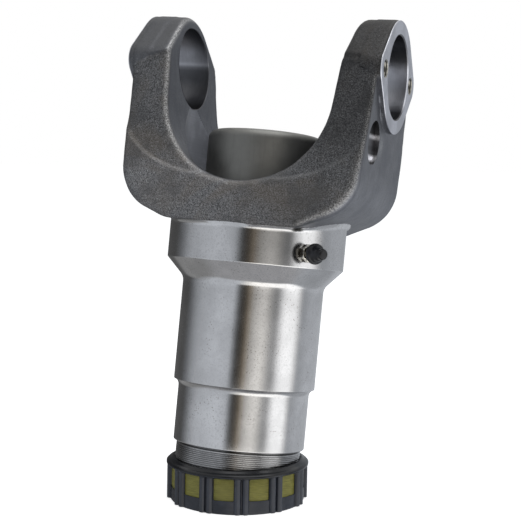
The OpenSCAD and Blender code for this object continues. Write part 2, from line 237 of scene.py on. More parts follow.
def lumps(points, size, seed):
    """Smooth noise from -1 to 1: random values on a lattice of the given size, each point
    taking the eased mean of the eight round it."""
    side = 32
    lattice = np.random.default_rng(seed).uniform(-1, 1, (side, side, side))
    scaled = points / size
    base = np.floor(scaled).astype(int)
    part = scaled - base
    part = part * part * (3 - 2 * part)
    total = np.zeros(len(points))
    for step in itertools.product((0, 1), repeat=3):
        weight = np.prod(np.where(step, part, 1 - part), axis=1)
        i, j, k = ((base + step) % side).T
        total += weight * lattice[i, j, k]
    return total


def outline_distance(u, v, outline):
    """Signed distance to a closed outline: the nearest of its sides, negative inside."""
    nearest = np.full(u.shape, np.inf)
    inside = np.zeros(u.shape, bool)
    for (au, av), (bu, bv) in zip(outline, outline[1:] + outline[:1]):
        du, dv = bu - au, bv - av
        t = np.clip(((u - au) * du + (v - av) * dv) / (du * du + dv * dv), 0, 1)
        nearest = np.minimum(nearest, np.hypot(u - au - t * du, v - av - t * dv))
        if dv:
            inside ^= ((av > v) != (bv > v)) & (u < au + (v - av) * du / dv)
    return np.where(inside, -nearest, nearest)


def arc(centre, radius, low, high, steps):
    """Points of an arc, from one angle in degrees to another."""
    turn = np.radians(np.linspace(low, high, steps + 1))
    return [(centre[0] + radius * math.cos(t), centre[1] + radius * math.sin(t)) for t in turn]


def contour(field, axes, place=None, wrap=None):
    """Closed mesh of the surface where a field is nought, by dual contouring.

    The field is read at the corners of a grid. Each grid edge that the surface crosses
    gives a crossing, narrowed down by halving, and the slope there. Each cell gets one
    point, the one nearest to all the planes through its crossings, so sharp edges stay
    sharp. The four cells round a crossed edge make a face. With place, the axes are
    curved ones, and wrap names the axis that closes on itself."""
    place = place or (lambda p: p)
    counts = [len(a) for a in axes]
    steps = [a[1] - a[0] for a in axes]
    starts = np.array([a[0] for a in axes])
    mesh = np.stack(np.meshgrid(*axes, indexing="ij"), -1).reshape(-1, 3)
    value = np.concatenate([field(place(part)) for part in np.array_split(mesh, 8)])
    inside = (value < 0).reshape(counts)
    cells, spots, slopes, quads = [], [], [], []
    for axis in range(3):
        after = np.roll(inside, -1, axis)
        crossed = inside != after
        if axis != wrap:
            np.moveaxis(crossed, axis, 0)[-1] = False
        index = np.argwhere(crossed)
        outward = inside[crossed]
        near = starts + index * steps
        far = near.copy()
        far[:, axis] += steps[axis]
        low, high = np.where(outward[:, None], near, far), np.where(outward[:, None], far, near)
        for _ in range(12):
            middle = (low + high) / 2
            below = (field(place(middle)) < 0)[:, None]
            low, high = np.where(below, middle, low), np.where(below, high, middle)
        spot = place((low + high) / 2)
        slope = np.stack([field(spot + d) - field(spot - d) for d in np.eye(3) * 0.01], -1)
        slope /= np.linalg.norm(slope, axis=1, keepdims=True) + 1e-12
        second, third = (axis + 1) % 3, (axis + 2) % 3
        around = []
        for back in ((1, 1), (0, 1), (0, 0), (1, 0)):
            cell = index.copy()
            cell[:, second] -= back[0]
            cell[:, third] -= back[1]
            if wrap is not None:
                cell[:, wrap] %= counts[wrap]
            around.append(np.ravel_multi_index(cell.T, counts))
        around = np.stack(around, -1)
        quads.append(np.where(outward[:, None], around, around[:, ::-1]))
        cells.append(around.ravel())
        spots.append(np.repeat(spot, 4, axis=0))
        slopes.append(np.repeat(slope, 4, axis=0))
    cells, spots, slopes = (np.concatenate(a) for a in (cells, spots, slopes))
    used, where = np.unique(cells, return_inverse=True)
    size = len(used)

    def gather(values):
        """Sum of the values in each cell."""
        return np.bincount(where, values, size)

    count = gather(np.ones(len(where)))
    mean = np.stack([gather(spots[:, i]) for i in range(3)], -1) / count[:, None]
    offset = np.einsum("ij,ij->i", slopes, spots)
    square = np.empty((size, 3, 3))
    for i, j in itertools.product(range(3), repeat=2):
        square[:, i, j] = gather(slopes[:, i] * slopes[:, j])
    wanted = np.stack([gather(slopes[:, i] * offset) for i in range(3)], -1)
    wanted -= np.einsum("nij,nj->ni", square, mean)
    square += 0.03 * count[:, None, None] * np.eye(3)
    shift = np.linalg.solve(square, wanted[..., None])[..., 0]
    reach = np.abs(spots - mean[where]).max(1)
    limit = np.zeros(size)
    np.maximum.at(limit, where, reach)
    span = np.linalg.norm(shift, axis=1)
    shift *= np.minimum(1, 1.6 * limit / np.maximum(span, 1e-9))[:, None]
    faces = np.searchsorted(used, np.concatenate(quads))
    return mean + shift, faces


def around_axis(radius, turn, height):
    """Points from arrays of their radius, their turn round Z and their height."""
    place = np.broadcast_arrays(radius * np.cos(turn), radius * np.sin(turn), height)
    return np.stack(place, -1)


def contour_round(field, radii, around, heights):
    """Closed mesh of a field's surface on a grid of radius, turn and height."""
    axes = [radii, full_turn(around), heights]
    return contour(field, axes, lambda p: around_axis(*p.T), wrap=1)


def full_turn(count):
    """Equal steps round a full turn, without its end."""
    return np.arange(count) * 2 * math.pi / count


def strip(points, wrap_rows=False, wrap_columns=True):
    """Faces of a grid of points, rows by columns, either of which may close on itself."""
    rows, columns = points.shape[:2]
    index = np.arange(rows * columns).reshape(rows, columns)
    i = np.arange(rows if wrap_rows else rows - 1)[:, None]
    j = np.arange(columns if wrap_columns else columns - 1)[None, :]
    i2, j2 = (i + 1) % rows, (j + 1) % columns
    quads = np.stack([index[i, j], index[i, j2], index[i2, j2], index[i2, j]], -1)
    return points.reshape(-1, 3), quads.reshape(-1, 4)


def turned(profile, columns, axis=(0, 0, 1), start=(0, 0, 0), sides=None):
    """A profile of radius and height carried round an axis: a point stands at the start
    plus its height along the axis plus its radius across it. The radius may follow the
    turn through sides, which gives the distance of a flat-sided section."""
    profile = np.array(profile, float)
    turn = full_turn(columns)
    along = np.array(axis, float) / np.linalg.norm(axis)
    across = np.cross(along, (0, 0, 1) if abs(along[2]) < 0.9 else (1, 0, 0))
    across /= np.linalg.norm(across)
    up = np.cross(along, across)
    ring = np.cos(turn)[:, None] * across + np.sin(turn)[:, None] * up
    radius = profile[:, :1] * np.ones(columns)
    if sides is not None:
        radius = np.minimum(radius, sides(turn)[None, :])
    height = profile[:, 1][:, None, None]
    return np.array(start) + radius[..., None] * ring[None] + height * along


def close_seams(mesh, closed=True):
    """Joins points that lie together, and turns the faces of a closed mesh out."""
    work = bmesh.new()
    work.from_mesh(mesh)
    bmesh.ops.remove_doubles(work, verts=work.verts, dist=2e-6)
    if closed:
        bmesh.ops.recalc_face_normals(work, faces=work.faces)
        if work.calc_volume(signed=True) < 0:
            bmesh.ops.reverse_faces(work, faces=work.faces)
    work.to_mesh(mesh)
    work.free()


def new_object(name, points, faces):
    """Object at the origin with a new mesh, whose points are in metres."""
    mesh = bpy.data.meshes.new(name)
    mesh.from_pydata(points.tolist(), [], faces)
    made = bpy.data.objects.new(name, mesh)
    bpy.context.scene.collection.objects.link(made)
    return made


class Piece:
    """One piece of the object, gathered from surfaces in millimetres and made a mesh."""

    def __init__(self, name):
        self.name = name
        self.points, self.faces, self.finish = [], [], []
        self.count = 0

    def add(self, surface, finish=0):
        """Adds points and faces. finish is one material number or one for each face."""
        points, faces = surface
        self.points.append(points)
        self.faces += (np.asarray(faces) + self.count).tolist()
        self.finish.append(np.broadcast_to(finish, len(faces)))
        self.count += len(points)
        return self

    def make(self, finishes, slot, nodes, merge=True, sharp=38):
        """Makes the object, closes its seams, turns its faces out, sets it on the body and hides
        the model's parts that it stands for.
        """
        piece = new_object(self.name, np.concatenate(self.points) * MM, self.faces)
        mesh = piece.data
        mesh.polygons.foreach_set("material_index", np.concatenate(self.finish).astype(np.int32))
        if merge:
            close_seams(mesh)
        mesh.validate()
        mesh.polygons.foreach_set("use_smooth", np.ones(len(mesh.polygons), bool))
        mesh.set_sharp_from_angle(angle=math.radians(sharp))
        for finish in finishes:
            mesh.materials.append(finish)
        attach(piece, BODY)
        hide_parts(*nodes)
        return piece


def paint(piece, **values):
    """Keeps one number for each point of a piece, for its material to read."""
    for name, value in values.items():
        layer = piece.data.attributes.new(name, "FLOAT", "POINT")
        layer.data.foreach_set("value", value.astype(np.float32))


# Finishes --------------------------------------------------------------------------------


class Reading:
    """A socket that takes part in sums: each operator adds the Math node it stands for."""

    def __init__(self, finish, socket):
        self.finish, self.socket = finish, socket

    def math(self, operation, *values):
        """A Math node on the values."""
        values = dict(enumerate(values))
        made = self.finish.node("ShaderNodeMath", {"operation": operation}, values)
        return Reading(self.finish, made.outputs[0])

    def __add__(self, other):
        return self.math("ADD", self, other)

    def __sub__(self, other):
        return self.math("SUBTRACT", self, other)

    def __rsub__(self, other):
        return self.math("SUBTRACT", other, self)

    def __mul__(self, other):
        return self.math("MULTIPLY", self, other)

    def __truediv__(self, other):
        return self.math("DIVIDE", self, other)

    def __pow__(self, other):
        return self.math("POWER", self, other)

    __radd__, __rmul__ = __add__, __mul__

    def step(self, low, high):
        """Rises smoothly from 0 at low to 1 at high."""
        settings = {"interpolation_type": "SMOOTHSTEP"}
        inputs = {"Value": self, "From Min": low, "From Max": high}
        made = self.finish.node("ShaderNodeMapRange", settings, inputs)
        return Reading(self.finish, made.outputs["Result"])

    def span(self, low, high):
        """Goes straight from low to high as the reading goes from 0 to 1."""
        return self * (high - low) + low


class Finish:
    """A tree of nodes for a material or the world, in which node() makes every node."""

    def __init__(self, owner):
        self.owner = owner
        owner.use_nodes = True
        self.tree = owner.node_tree
        self.tree.nodes.clear()
        self.place = None

    def node(self, kind, settings=None, inputs=None):
        """Adds a node of a kind, sets it up, then gives its sockets their values or links."""
        made = self.tree.nodes.new(kind)
        for key, value in (settings or {}).items():
            if key == "stops":
                self.set_stops(made.color_ramp, value)
            else:
                setattr(made, key, value)
        for key, value in (inputs or {}).items():
            if isinstance(value, Reading):
                value = value.socket
            if isinstance(value, bpy.types.NodeSocket):
                self.tree.links.new(value, made.inputs[key])
            else:
                made.inputs[key].default_value = value
        return made

    @staticmethod
    def set_stops(ramp, stops):
        """Gives a ramp its stops, each a position and a colour."""
        while len(ramp.elements) < len(stops):
            ramp.elements.new(1)
        for element, (position, ink) in zip(ramp.elements, stops):
            element.position, element.color = position, (*ink, 1)

    def reading(self, socket):
        """A socket as a reading."""
        return Reading(self, socket)

    def coordinates(self):
        """The object's own coordinates, in metres."""
        if self.place is None:
            self.place = self.node("ShaderNodeTexCoord").outputs["Object"]
        return self.place

    def parts(self):
        """The three object coordinates, as readings."""
        split = self.node("ShaderNodeSeparateXYZ", None, {0: self.coordinates()})
        return [self.reading(split.outputs[i]) for i in range(3)]

    def stretched(self, x, y, z):
        """Object coordinates scaled on each axis."""
        inputs = {"Vector": self.coordinates(), "Scale": (x, y, z)}
        return self.node("ShaderNodeMapping", None, inputs).outputs[0]

    def joined(self, x, y, z):
        """A place put together from three readings or numbers."""
        return self.node("ShaderNodeCombineXYZ", None, {0: x, 1: y, 2: z}).outputs[0]

    def noise(self, scale, detail, roughness, place=None, distortion=0.0):
        """Cloudy noise, mostly between 0.3 and 0.7."""
        inputs = {"Vector": place or self.coordinates(), "Scale": scale, "Detail": detail}
        inputs |= {"Roughness": roughness, "Distortion": distortion}
        return self.reading(self.node("ShaderNodeTexNoise", None, inputs).outputs[0])

    def dots(self, scale):
        """Distance to the nearest of many scattered points."""
        inputs = {"Vector": self.coordinates(), "Scale": scale}
        return self.reading(self.node("ShaderNodeTexVoronoi", None, inputs).outputs["Distance"])

    def attribute(self, name):
        """A number painted on the piece's points."""
        made = self.node("ShaderNodeAttribute", {"attribute_name": name})
        return self.reading(made.outputs["Fac"])

    def mix(self, first, second, share, blend="MIX"):
        """Colour that goes from the first to the second with the share."""
        settings = {"data_type": "RGBA", "blend_type": blend}
        inputs = {0: share, 6: self.full(first), 7: self.full(second)}
        return self.node("ShaderNodeMix", settings, inputs).outputs[2]

    def layered(self, base, first, *layers):
        """Colour with layers over it, each with its share. A number stands for the base
        colour made that many times lighter."""

        def toned(value):
            """The base made lighter by a number, or a colour as it is."""
            return shade(base, value) if isinstance(value, (int, float)) else value

        skin = toned(first)
        for layer, share in layers:
            skin = self.mix(skin, toned(layer), share)
        return skin

    def ramp(self, reading, stops):
        """Colour that follows a reading through stops, each a position and a colour."""
        return self.node("ShaderNodeValToRGB", {"stops": stops}, {0: reading}).outputs[0]

    def glow(self, strength, shown=(1, 1, 1, 1)):
        """Shader that gives light of a colour."""
        inputs = {"Color": shown, "Strength": strength}
        return self.node("ShaderNodeEmission", None, inputs).outputs[0]

    def blended(self, share, first, second):
        """Shader that goes from the first to the second with the share."""
        inputs = {0: share, 1: first, 2: second}
        return self.node("ShaderNodeMixShader", None, inputs).outputs[0]

    def end(self, kind, shader):
        """Leads a shader into the output node, and gives what owns the tree."""
        self.node(kind, None, {"Surface": shader})
        return self.owner

    @staticmethod
    def full(ink):
        """A colour with its alpha, or a link as it is."""
        return (*ink, 1) if isinstance(ink, tuple) else ink

    def bump(self, height, distance, strength, normal=None):
        """Normal bent by a height between 0 and 1, which stands for a distance in metres."""
        inputs = {"Height": height, "Distance": distance, "Strength": strength}
        if normal is not None:
            inputs["Normal"] = normal
        return self.node("ShaderNodeBump", None, inputs).outputs[0]

    def surface(self, **inputs):
        """The shader of the finish, with its own constants and links."""
        names = {key.replace("_", " "): value for key, value in inputs.items()}
        shader = self.node("ShaderNodeBsdfPrincipled", None, names)
        return self.end("ShaderNodeOutputMaterial", shader.outputs[0])


def shade(value, factor):
    """A colour made lighter or darker by a factor."""
    return tuple(min(1, channel * factor) for channel in value)


def greys(stops, blue=1.0):
    """Stops of grey, each a position and a brightness, tinted by a factor of their blue."""
    return [(place, (value, value, value * blue)) for place, value in stops]


def new_finish(name):
    """Node tree of a new material."""
    return Finish(bpy.data.materials.new(name))


def forged_skin(colours):
    """Blasted forging skin: a fine speckle of dark pits and bare grains over brown stains and
    broad lumps on the front and back, and a smoother blue-grey skin with faint upright streaks
    on the flanks. Edges are rubbed bright in a speckled line, partly worn steel and partly a
    painted highlight. A painted highlight runs along the panels' crease, and painted light and
    shade sets how light the skin is by place."""
    f = new_finish("Forged skin")
    rough, glint, crease, tone = (f.attribute(n) for n in ("rough", "glint", "crease", "tone"))
    base, worn = tuple(colours.forged), tuple(colours.worn)
    grain = f.noise(1650, 3, 0.7)
    speck = f.noise(1050, 2, 0.6, distortion=0.3)
    cloud = f.noise(46, 4, 0.6)
    patch = f.noise(19, 4, 0.6, distortion=0.8)
    streak = f.noise(1, 3, 0.6, f.stretched(420, 420, 26))
    coarse = f.layered(
        base,
        0.42,
        (1.75, grain.step(0.36, 0.64)),
        (0.35, speck.step(0.54, 0.66) * 0.6),
        (2.7, f.noise(1150, 1, 0.5).step(0.62, 0.72) * 0.6),
        ((0.168, 0.142, 0.114), patch.step(0.44, 0.66) * 0.42),
        (0.62, cloud.step(0.48, 0.64) * 0.5),
    )
    smooth = f.layered(
        base,
        (0.134, 0.141, 0.161),
        ((0.182, 0.189, 0.208), cloud.step(0.35, 0.65)),
        ((0.112, 0.116, 0.128), streak.step(0.48, 0.70) * 0.5),
        (0.55, grain.step(0.50, 0.68) * 0.5),
        (1.6, speck.step(0.60, 0.72) * 0.4),
    )
    # Painted light and shade multiplies the skin: darker to the right, up the ears, in the
    # saddle and on the shoulders
    skin = f.mix(f.mix(smooth, coarse, rough), tone, 1.0, "MULTIPLY")
    # Worn bare steel with a painted highlight along the rubbed edges
    rubbed = glint * (grain * 0.6 + speck * 0.4).step(0.42, 0.58)
    # Painted highlight along the panels' crease
    crease_highlight = crease * grain.step(0.36, 0.58) * 0.5
    skin = f.layered(worn, skin, (1, rubbed * 0.8), (0.5, crease_highlight))
    height = grain * 0.6 + speck * 0.4
    broad = f.bump(f.noise(150, 3, 0.55), 0.00045, 0.5)
    fine = f.bump(height, 0.00026, rough.span(0.22, 0.9), broad)
    return f.surface(
        Base_Color=skin,
        Roughness=(rough.span(0.47, 0.60) + (grain - 0.5) * 0.2 - rubbed * 0.16),
        Metallic=0.88,
        Normal=fine,
    )


# Where the roots of the thread and the groove above it get painted shade, in metres
THREAD_OUTER, GROOVE_RADIUS = 0.0374, 0.0367
THREAD_END, GROOVE_FOOT, GROOVE_TOP = (0.0326, 0.0328), (0.0329, 0.0330), (0.0339, 0.0342)


def turned_steel(colours):
    """Satin steel turned in a lathe: fine rings round the axis, a grey bloom and small dark
    pits. The roots of the thread and the groove above it get painted shade."""
    f = new_finish("Turned steel")
    base = tuple(colours.turned)
    x, y, z = f.parts()
    rings = f.noise(1, 3, 0.6, f.joined(x * 30, y * 30, z * 5200))
    cloud = f.noise(38, 4, 0.6)
    grain = f.noise(900, 2, 0.5)
    pits = f.dots(620)
    sparse = f.noise(70, 2, 0.5)
    radius = (x * x + y * y) ** 0.5
    # Painted shade in the thread's roots and in the groove above it
    below = 1 - z.step(*THREAD_END)
    root = (THREAD_OUTER - radius).step(0.0001, 0.0005) * below
    groove_shade = (GROOVE_RADIUS - radius).step(0, 0.0002)
    groove_shade = groove_shade * z.step(*GROOVE_FOOT) * (1 - z.step(*GROOVE_TOP))
    pitted = (1 - pits.step(0.12, 0.24)) * sparse.step(0.50, 0.62)
    skin = f.layered(
        base,
        0.88,
        (1.08, cloud.step(0.35, 0.65)),
        (0.80, grain.step(0.50, 0.75) * 0.6),
        ((0.16, 0.14, 0.12), pitted * 0.7),
        (0.24, root * 0.5),
        (0.10, groove_shade * 0.85),
    )
    ring_bump = f.bump(rings, 0.000006, 0.5)
    fine = f.bump(grain, 0.000012, 0.5, ring_bump)
    return f.surface(
        Base_Color=skin,
        Roughness=cloud.span(0.12, 0.19) + grain * 0.05,
        Metallic=1.0,
        Normal=fine,
    )


def machined_steel(colours):
    """Milled and bored steel: fine rings round the cross bore's axis under a soft bloom."""
    f = new_finish("Machined steel")
    base = tuple(colours.machined)
    x, y, z = f.parts()
    up = z - BORE_HEIGHT * MM
    radius = (y * y + up * up) ** 0.5
    rings = f.noise(1, 2, 0.5, f.joined(radius * 3600, x * 3600, 0.0))
    cloud = f.noise(60, 3, 0.6)
    bloom, ringed = cloud.step(0.35, 0.66), rings.step(0.5, 0.72) * 0.35
    return f.surface(
        Base_Color=f.layered(base, 0.80, (1.1, bloom), (0.7, ringed)),
        Roughness=cloud.span(0.26, 0.40),
        Metallic=1.0,
        Normal=f.bump(rings, 0.00003, 0.55),
    )


def bored_steel(colours, stops):
    """Bored steel: fine rings along the bore, and painted light and shade in bands from its
    floor to its crown.
    """
    f = new_finish("Bored steel")
    base = tuple(colours.machined)
    x, y, z = f.parts()
    share = (z - BORE_HEIGHT * MM) / BORE_SPAN + 0.5
    # Painted light and shade: bands of brightness from the bore's floor to its crown, multiplied
    # into the colour
    bands = f.ramp(share, greys(stops))
    rings = f.noise(1, 3, 0.6, f.joined(x * 2600, y * 120, z * 120))
    cloud = f.noise(60, 3, 0.6)
    bloom, ringed = cloud.step(0.35, 0.66), rings.step(0.5, 0.7) * 0.5
    skin = f.layered(base, 0.9, (1.15, bloom), (0.75, ringed))
    return f.surface(
        Base_Color=f.mix(skin, bands, 1.0, "MULTIPLY"),
        Roughness=cloud.span(0.28, 0.38),
        Metallic=1.0,
        Normal=f.bump(rings, 0.00003, 0.5),
    )


def cut_steel(colours):
    """Cut steel of the turned clearance and the balance drilling: soft rings round the sleeve's
    axis over a dull bloom, and in the drilling painted highlights and shade in bright and dark
    arcs, with a painted shadow on its far wall."""
    f = new_finish("Cut steel")
    base = shade(tuple(colours.machined), 0.36)
    x, y, z = f.parts()
    radius = (x * x + y * y) ** 0.5
    rings = f.noise(1, 2, 0.5, f.joined(radius * 1500, z * 1500, 0.0))
    cloud = f.noise(60, 3, 0.6)
    across, up, reach = BALANCE
    # Painted light and shade in the balance drilling: bright and dark arcs by height, and a
    # painted shadow on its far wall
    height = (z - (BORE_HEIGHT + up) * MM) / (2 * reach * MM) + 0.5
    arcs = f.ramp(height + (cloud - 0.5) * 0.04, greys(DRILL_SHADING, 1.04))
    wall = (y - across * MM).step(-0.001, 0.001) * height.step(0.20, 0.28)
    wall = wall * (1 - height.step(0.58, 0.66) * 0.6)
    drill_shading = f.mix(arcs, (0.05, 0.05, 0.055), wall * 0.9)
    skin = f.layered(
        base,
        0.80,
        (1.15, cloud.step(0.35, 0.66)),
        (0.7, rings.step(0.5, 0.72) * 0.35),
        (drill_shading, (x - 0.062).step(0, 0.001)),
    )
    return f.surface(
        Base_Color=skin,
        Roughness=cloud.span(0.34, 0.44),
        Metallic=0.95,
        Normal=f.bump(rings, 0.00003, 0.5),
    )


def drawn_steel(colours):
    """Dark drawn sheet: smooth, with faint draw lines and a soft bloom."""
    f = new_finish("Drawn steel")
    base = tuple(colours.drawn)
    lines = f.noise(1, 3, 0.6, f.stretched(900, 900, 60))
    cloud = f.noise(32, 4, 0.6)
    bloom, drawn = cloud.step(0.35, 0.65), lines.step(0.5, 0.7) * 0.3
    return f.surface(
        Base_Color=f.layered(base, 0.88, (1.12, bloom), (0.8, drawn)),
        Roughness=cloud.span(0.46, 0.54),
        Metallic=0.85,
        Normal=f.bump(lines, 0.00002, 0.4),
    )


def plated_steel(colours, name="Plated steel", factor=1.0):
    """Bright plating, slightly yellow, with a fine grain, or a darker copy of it as painted
    shade in the threaded wells and on the nipple's hexagon.
    """
    f = new_finish(name)
    base = shade(tuple(colours.plated), factor)
    cloud = f.noise(300, 3, 0.6)
    return f.surface(
        Base_Color=f.layered(base, 0.75, (1.15, cloud.step(0.35, 0.65))),
        Roughness=cloud.span(0.12, 0.24),
        Metallic=1.0,
        Normal=f.bump(cloud, 0.00005, 0.3),
    )


def soft_plastic(colours):
    """Soft black moulding with a fine matt texture."""
    f = new_finish("Soft black plastic")
    base = tuple(colours.soft_plastic)
    grain = f.noise(1400, 2, 0.5)
    cloud = f.noise(160, 3, 0.6)
    return f.surface(
        Base_Color=f.layered(base, 0.6, (1.3, cloud.step(0.4, 0.7))),
        Roughness=cloud.span(0.24, 0.38),
        Specular_IOR_Level=0.3,
        Normal=f.bump(grain, 0.00006, 0.4),
    )


def cap_plastic(colours):
    """Semi-gloss blue-black moulding: faint flow streaks, dust and a fine orange peel, with
    painted shade on the rim's top and a painted highlight on the beads' crowns.
    """
    f = new_finish("Black plastic")
    base = tuple(colours.plastic)
    cloud = f.noise(70, 4, 0.6)
    peel = f.noise(420, 2, 0.5)
    dust = f.noise(1300, 2, 0.6)
    skin = f.layered(
        base,
        1.4,
        (2.2, cloud.step(0.42, 0.70)),
        ((0.075, 0.080, 0.092), dust.step(0.60, 0.78) * 0.35),
        # Painted highlight on the beads' crowns, and painted shade on the rim's top
        ((0.115, 0.124, 0.148), f.attribute("rubbed") * 0.25),
        (0.25, f.attribute("shaded") * 0.9),
    )
    return f.surface(
        Base_Color=skin,
        Roughness=cloud.span(0.15, 0.26),
        Specular_IOR_Level=0.28,
        Normal=f.bump(peel, 0.00006, 0.35),
    )


def olive_seal(colours):
    """Olive rubbery seal with fine brushed streaks both ways and a warm bloom."""
    f = new_finish("Olive seal")
    base = tuple(colours.olive)
    x, y, z = f.parts()
    around = f.noise(1, 3, 0.6, f.joined(x * 160, y * 160, z * 2600))
    down = f.noise(1, 3, 0.6, f.joined(x * 1500, y * 1500, z * 150))
    cloud = f.noise(70, 3, 0.6)
    skin = f.layered(
        base,
        0.64,
        (1.02, around.step(0.36, 0.64)),
        (0.72, down.step(0.52, 0.70) * 0.6),
        ((0.25, 0.23, 0.075), cloud.step(0.45, 0.7) * 0.5),
    )
    height = around * 0.5 + down * 0.5
    return f.surface(
        Base_Color=skin,
        Roughness=cloud.span(0.34, 0.50),
        Specular_IOR_Level=0.32,
        Normal=f.bump(height, 0.00010, 0.5),
    )


def ball_steel():
    """Polished check ball with the faintest handling marks."""
    f = new_finish("Polished steel")
    cloud = f.noise(700, 3, 0.6)
    return f.surface(
        Base_Color=f.mix((0.72, 0.72, 0.74), (0.82, 0.82, 0.84), cloud.step(0.4, 0.6)),
        Roughness=cloud.span(0.05, 0.14),
        Metallic=1.0,
    )


# The forging -----------------------------------------------------------------------------


# The fork: the draft of its front and back, the lean of its flanks and the normal of its
# shoulders in degrees, and the radius of its lower corners and the height of their centres
DRAFT, FLANK_LEAN, SHOULDER = 7.7, 2.4, -67.5
CORNER_RADIUS, CORNER_HEIGHT = 27.6, -62

# The gap between the ears: the height of its round bottom's centre, and how its sides lean,
# in degrees. INNER_FACE is where a side stands at the height of the cross bore's axis, and
# INNER_SLOPE how far it leans out in each millimetre up
GAP_CENTRE, GAP_LEAN = -19, 5.14
INNER_FACE, INNER_SLOPE = 52.41, 0.09

# The left ear: its inner face and its machined face stand further in than the right ear's,
# and the corner under it hangs lower
LEFT_SHIFT, LEFT_FACE, LEFT_DROP = 1.2, 0.5, 0.9

# The nipple: the direction it points in, its height above the cap's foot, and how far out
# from the sleeve's axis it is seated
NIPPLE_TURN = math.radians(51)
NIPPLE_AXIS = (math.sin(NIPPLE_TURN), -math.cos(NIPPLE_TURN), 0)
NIPPLE_RISE, NIPPLE_SEAT = 151.1, 51.6
NIPPLE_START = (NIPPLE_SEAT * NIPPLE_AXIS[0], NIPPLE_SEAT * NIPPLE_AXIS[1], NIPPLE_RISE)

# The turned clearance round the plug: its radius, its floor and the rounding between them.
# Below it come the plug's seat, with its radius and floor, and the bore through the fork
POCKET_RADIUS, POCKET_FLOOR, POCKET_ROUND = 49.5, -68.5, 8
SEAT_RADIUS, SEAT_FLOOR, THROUGH_RADIUS = 35.12, -80.5, 34
COLLAR_FOOT = -115.45


def ear_sizes(sizes, side):
    """Head radius, lobe radius, place of the tapped holes, angle of the tangents between
    them and place of the machined face, of the right ear (1) or the left one (-1)."""
    head = (sizes.head_radius if side > 0 else sizes.left_head_radius) / MM
    lobe, place = sizes.lobe_radius / MM, sizes.bolt_spacing / MM / 2
    face = sizes.ear_span / MM / 2 - (0 if side > 0 else LEFT_FACE)
    return head, lobe, place, math.degrees(math.acos((head - lobe) / place)), face


def ear_boss(x, y, z, sizes, side):
    """Distance to the boss of one ear's machined face: a head and two lobes, joined by
    their common tangents, as a plate that ends just behind the face."""
    head, lobe, place, tangent, face = ear_sizes(sizes, side)
    ay, az = np.abs(y), np.abs(z)
    outline = np.maximum(
        corner(ay, az, (place, 0), 0, tangent, lobe), corner(ay, az, (0, 0), tangent, 90, head)
    )
    along = x * side
    # The plate reaches further back towards the ear's top, along the panel's slope
    back = np.clip(4.0 + 2.2 * (z + 4.5), 4, 13)
    return np.maximum(outline + 0.06, np.maximum(along - face + 0.3, face - back - along))


def forged_envelope(points, sizes):
    """The fork as it leaves the dies. Seen from the front it is a plane underside, sloped
    shoulders, round corners and flanks; seen along the bore it is the ears' heads with
    drafted fronts. Their common part has rounded edges, and the gap between the ears is
    taken out of it with a rounded edge. Returns the distance and what the finish needs."""
    x, y, z = points.T
    ax, ay = np.abs(x), np.abs(y)
    left = x < 0
    # From the front: flanks, round corners, shoulders and the plane underside
    flank = (sizes.ear_span / 2 - sizes.face_rise) / MM - np.where(left, 4.0, 2.7)
    lower = np.where(left, z + LEFT_DROP, z)
    centre = (flank - CORNER_RADIUS, CORNER_HEIGHT)
    side = corner(ax, lower, centre, SHOULDER, -FLANK_LEAN, CORNER_RADIUS)
    side = round_max(side, -sizes.fork_drop / MM - z, 1.6)
    # Along the bore: the ears' heads with drafted fronts
    head_radius, lobe_radius, _, tangent, _ = ear_sizes(sizes, 1)
    tangent = np.where(left, ear_sizes(sizes, -1)[3], tangent)
    lobe_place = sizes.half_depth / MM - lobe_radius
    lobe = corner(ay, z, (lobe_place, 0), DRAFT, tangent, lobe_radius)
    barrel = np.where(left, sizes.left_head_radius / MM, head_radius) - 0.1
    head = corner(ay, z, (0, 0), tangent, 90, barrel)
    # The drawn-in panels: an oval border below, and a slope up the left ear or a level line
    border = (np.hypot(np.maximum(ax - 18, 0) / 57, np.maximum(-30 - z, 0) / 38) - 1) * 42
    top = np.where(left, -4.5 + (72.9 - ax) / 2.2, 6.5)
    sunk = smooth_step(-border, -0.5, 1.9) * smooth_step(top - z, -1.6, 2.4)
    ends = round_max(lobe, head, 1.0) + sizes.panel_depth / MM * sunk
    # Edges: softer at the lower corners, sharper along the middle of the underside
    softer = np.exp(-((ax - 62) ** 2 + (z + 80) ** 2) / (2 * 20**2))
    edge = 2.7 + np.where(left, 2.4, 5.6) * softer
    edge = edge - 1.3 * smooth_step(-z, 86, 92) * smooth_step(46 - ax, 0, 10)
    blank = round_max(side, ends, edge)
    # The gap between the ears, and lumps that die away round the bores
    shifted = ax + LEFT_SHIFT * smooth_step(-x, 20, 45)
    gap = corner(shifted, z, (0, GAP_CENTRE), -90, -GAP_LEAN, sizes.saddle_radius / MM)
    rim = sizes.saddle_edge / MM
    solid = round_max(blank, -gap, rim)
    calm = smooth_step(np.hypot(y, z), 26, 34)
    rise = sizes.lump_height / MM
    solid = solid - calm * rise * (lumps(points, 15, 3) + 0.5 * lumps(points, 6.3, 5))
    return solid, ends, side, gap, border, edge


def before_cutting(points, sizes):
    """The forged envelope with the boss of each ear's face added."""
    x, y, z = points.T
    solid = forged_envelope(points, sizes)[0]
    boss = np.minimum(ear_boss(x, y, z, sizes, 1), ear_boss(x, y, z, sizes, -1))
    return round_min(solid, boss, 0.9)


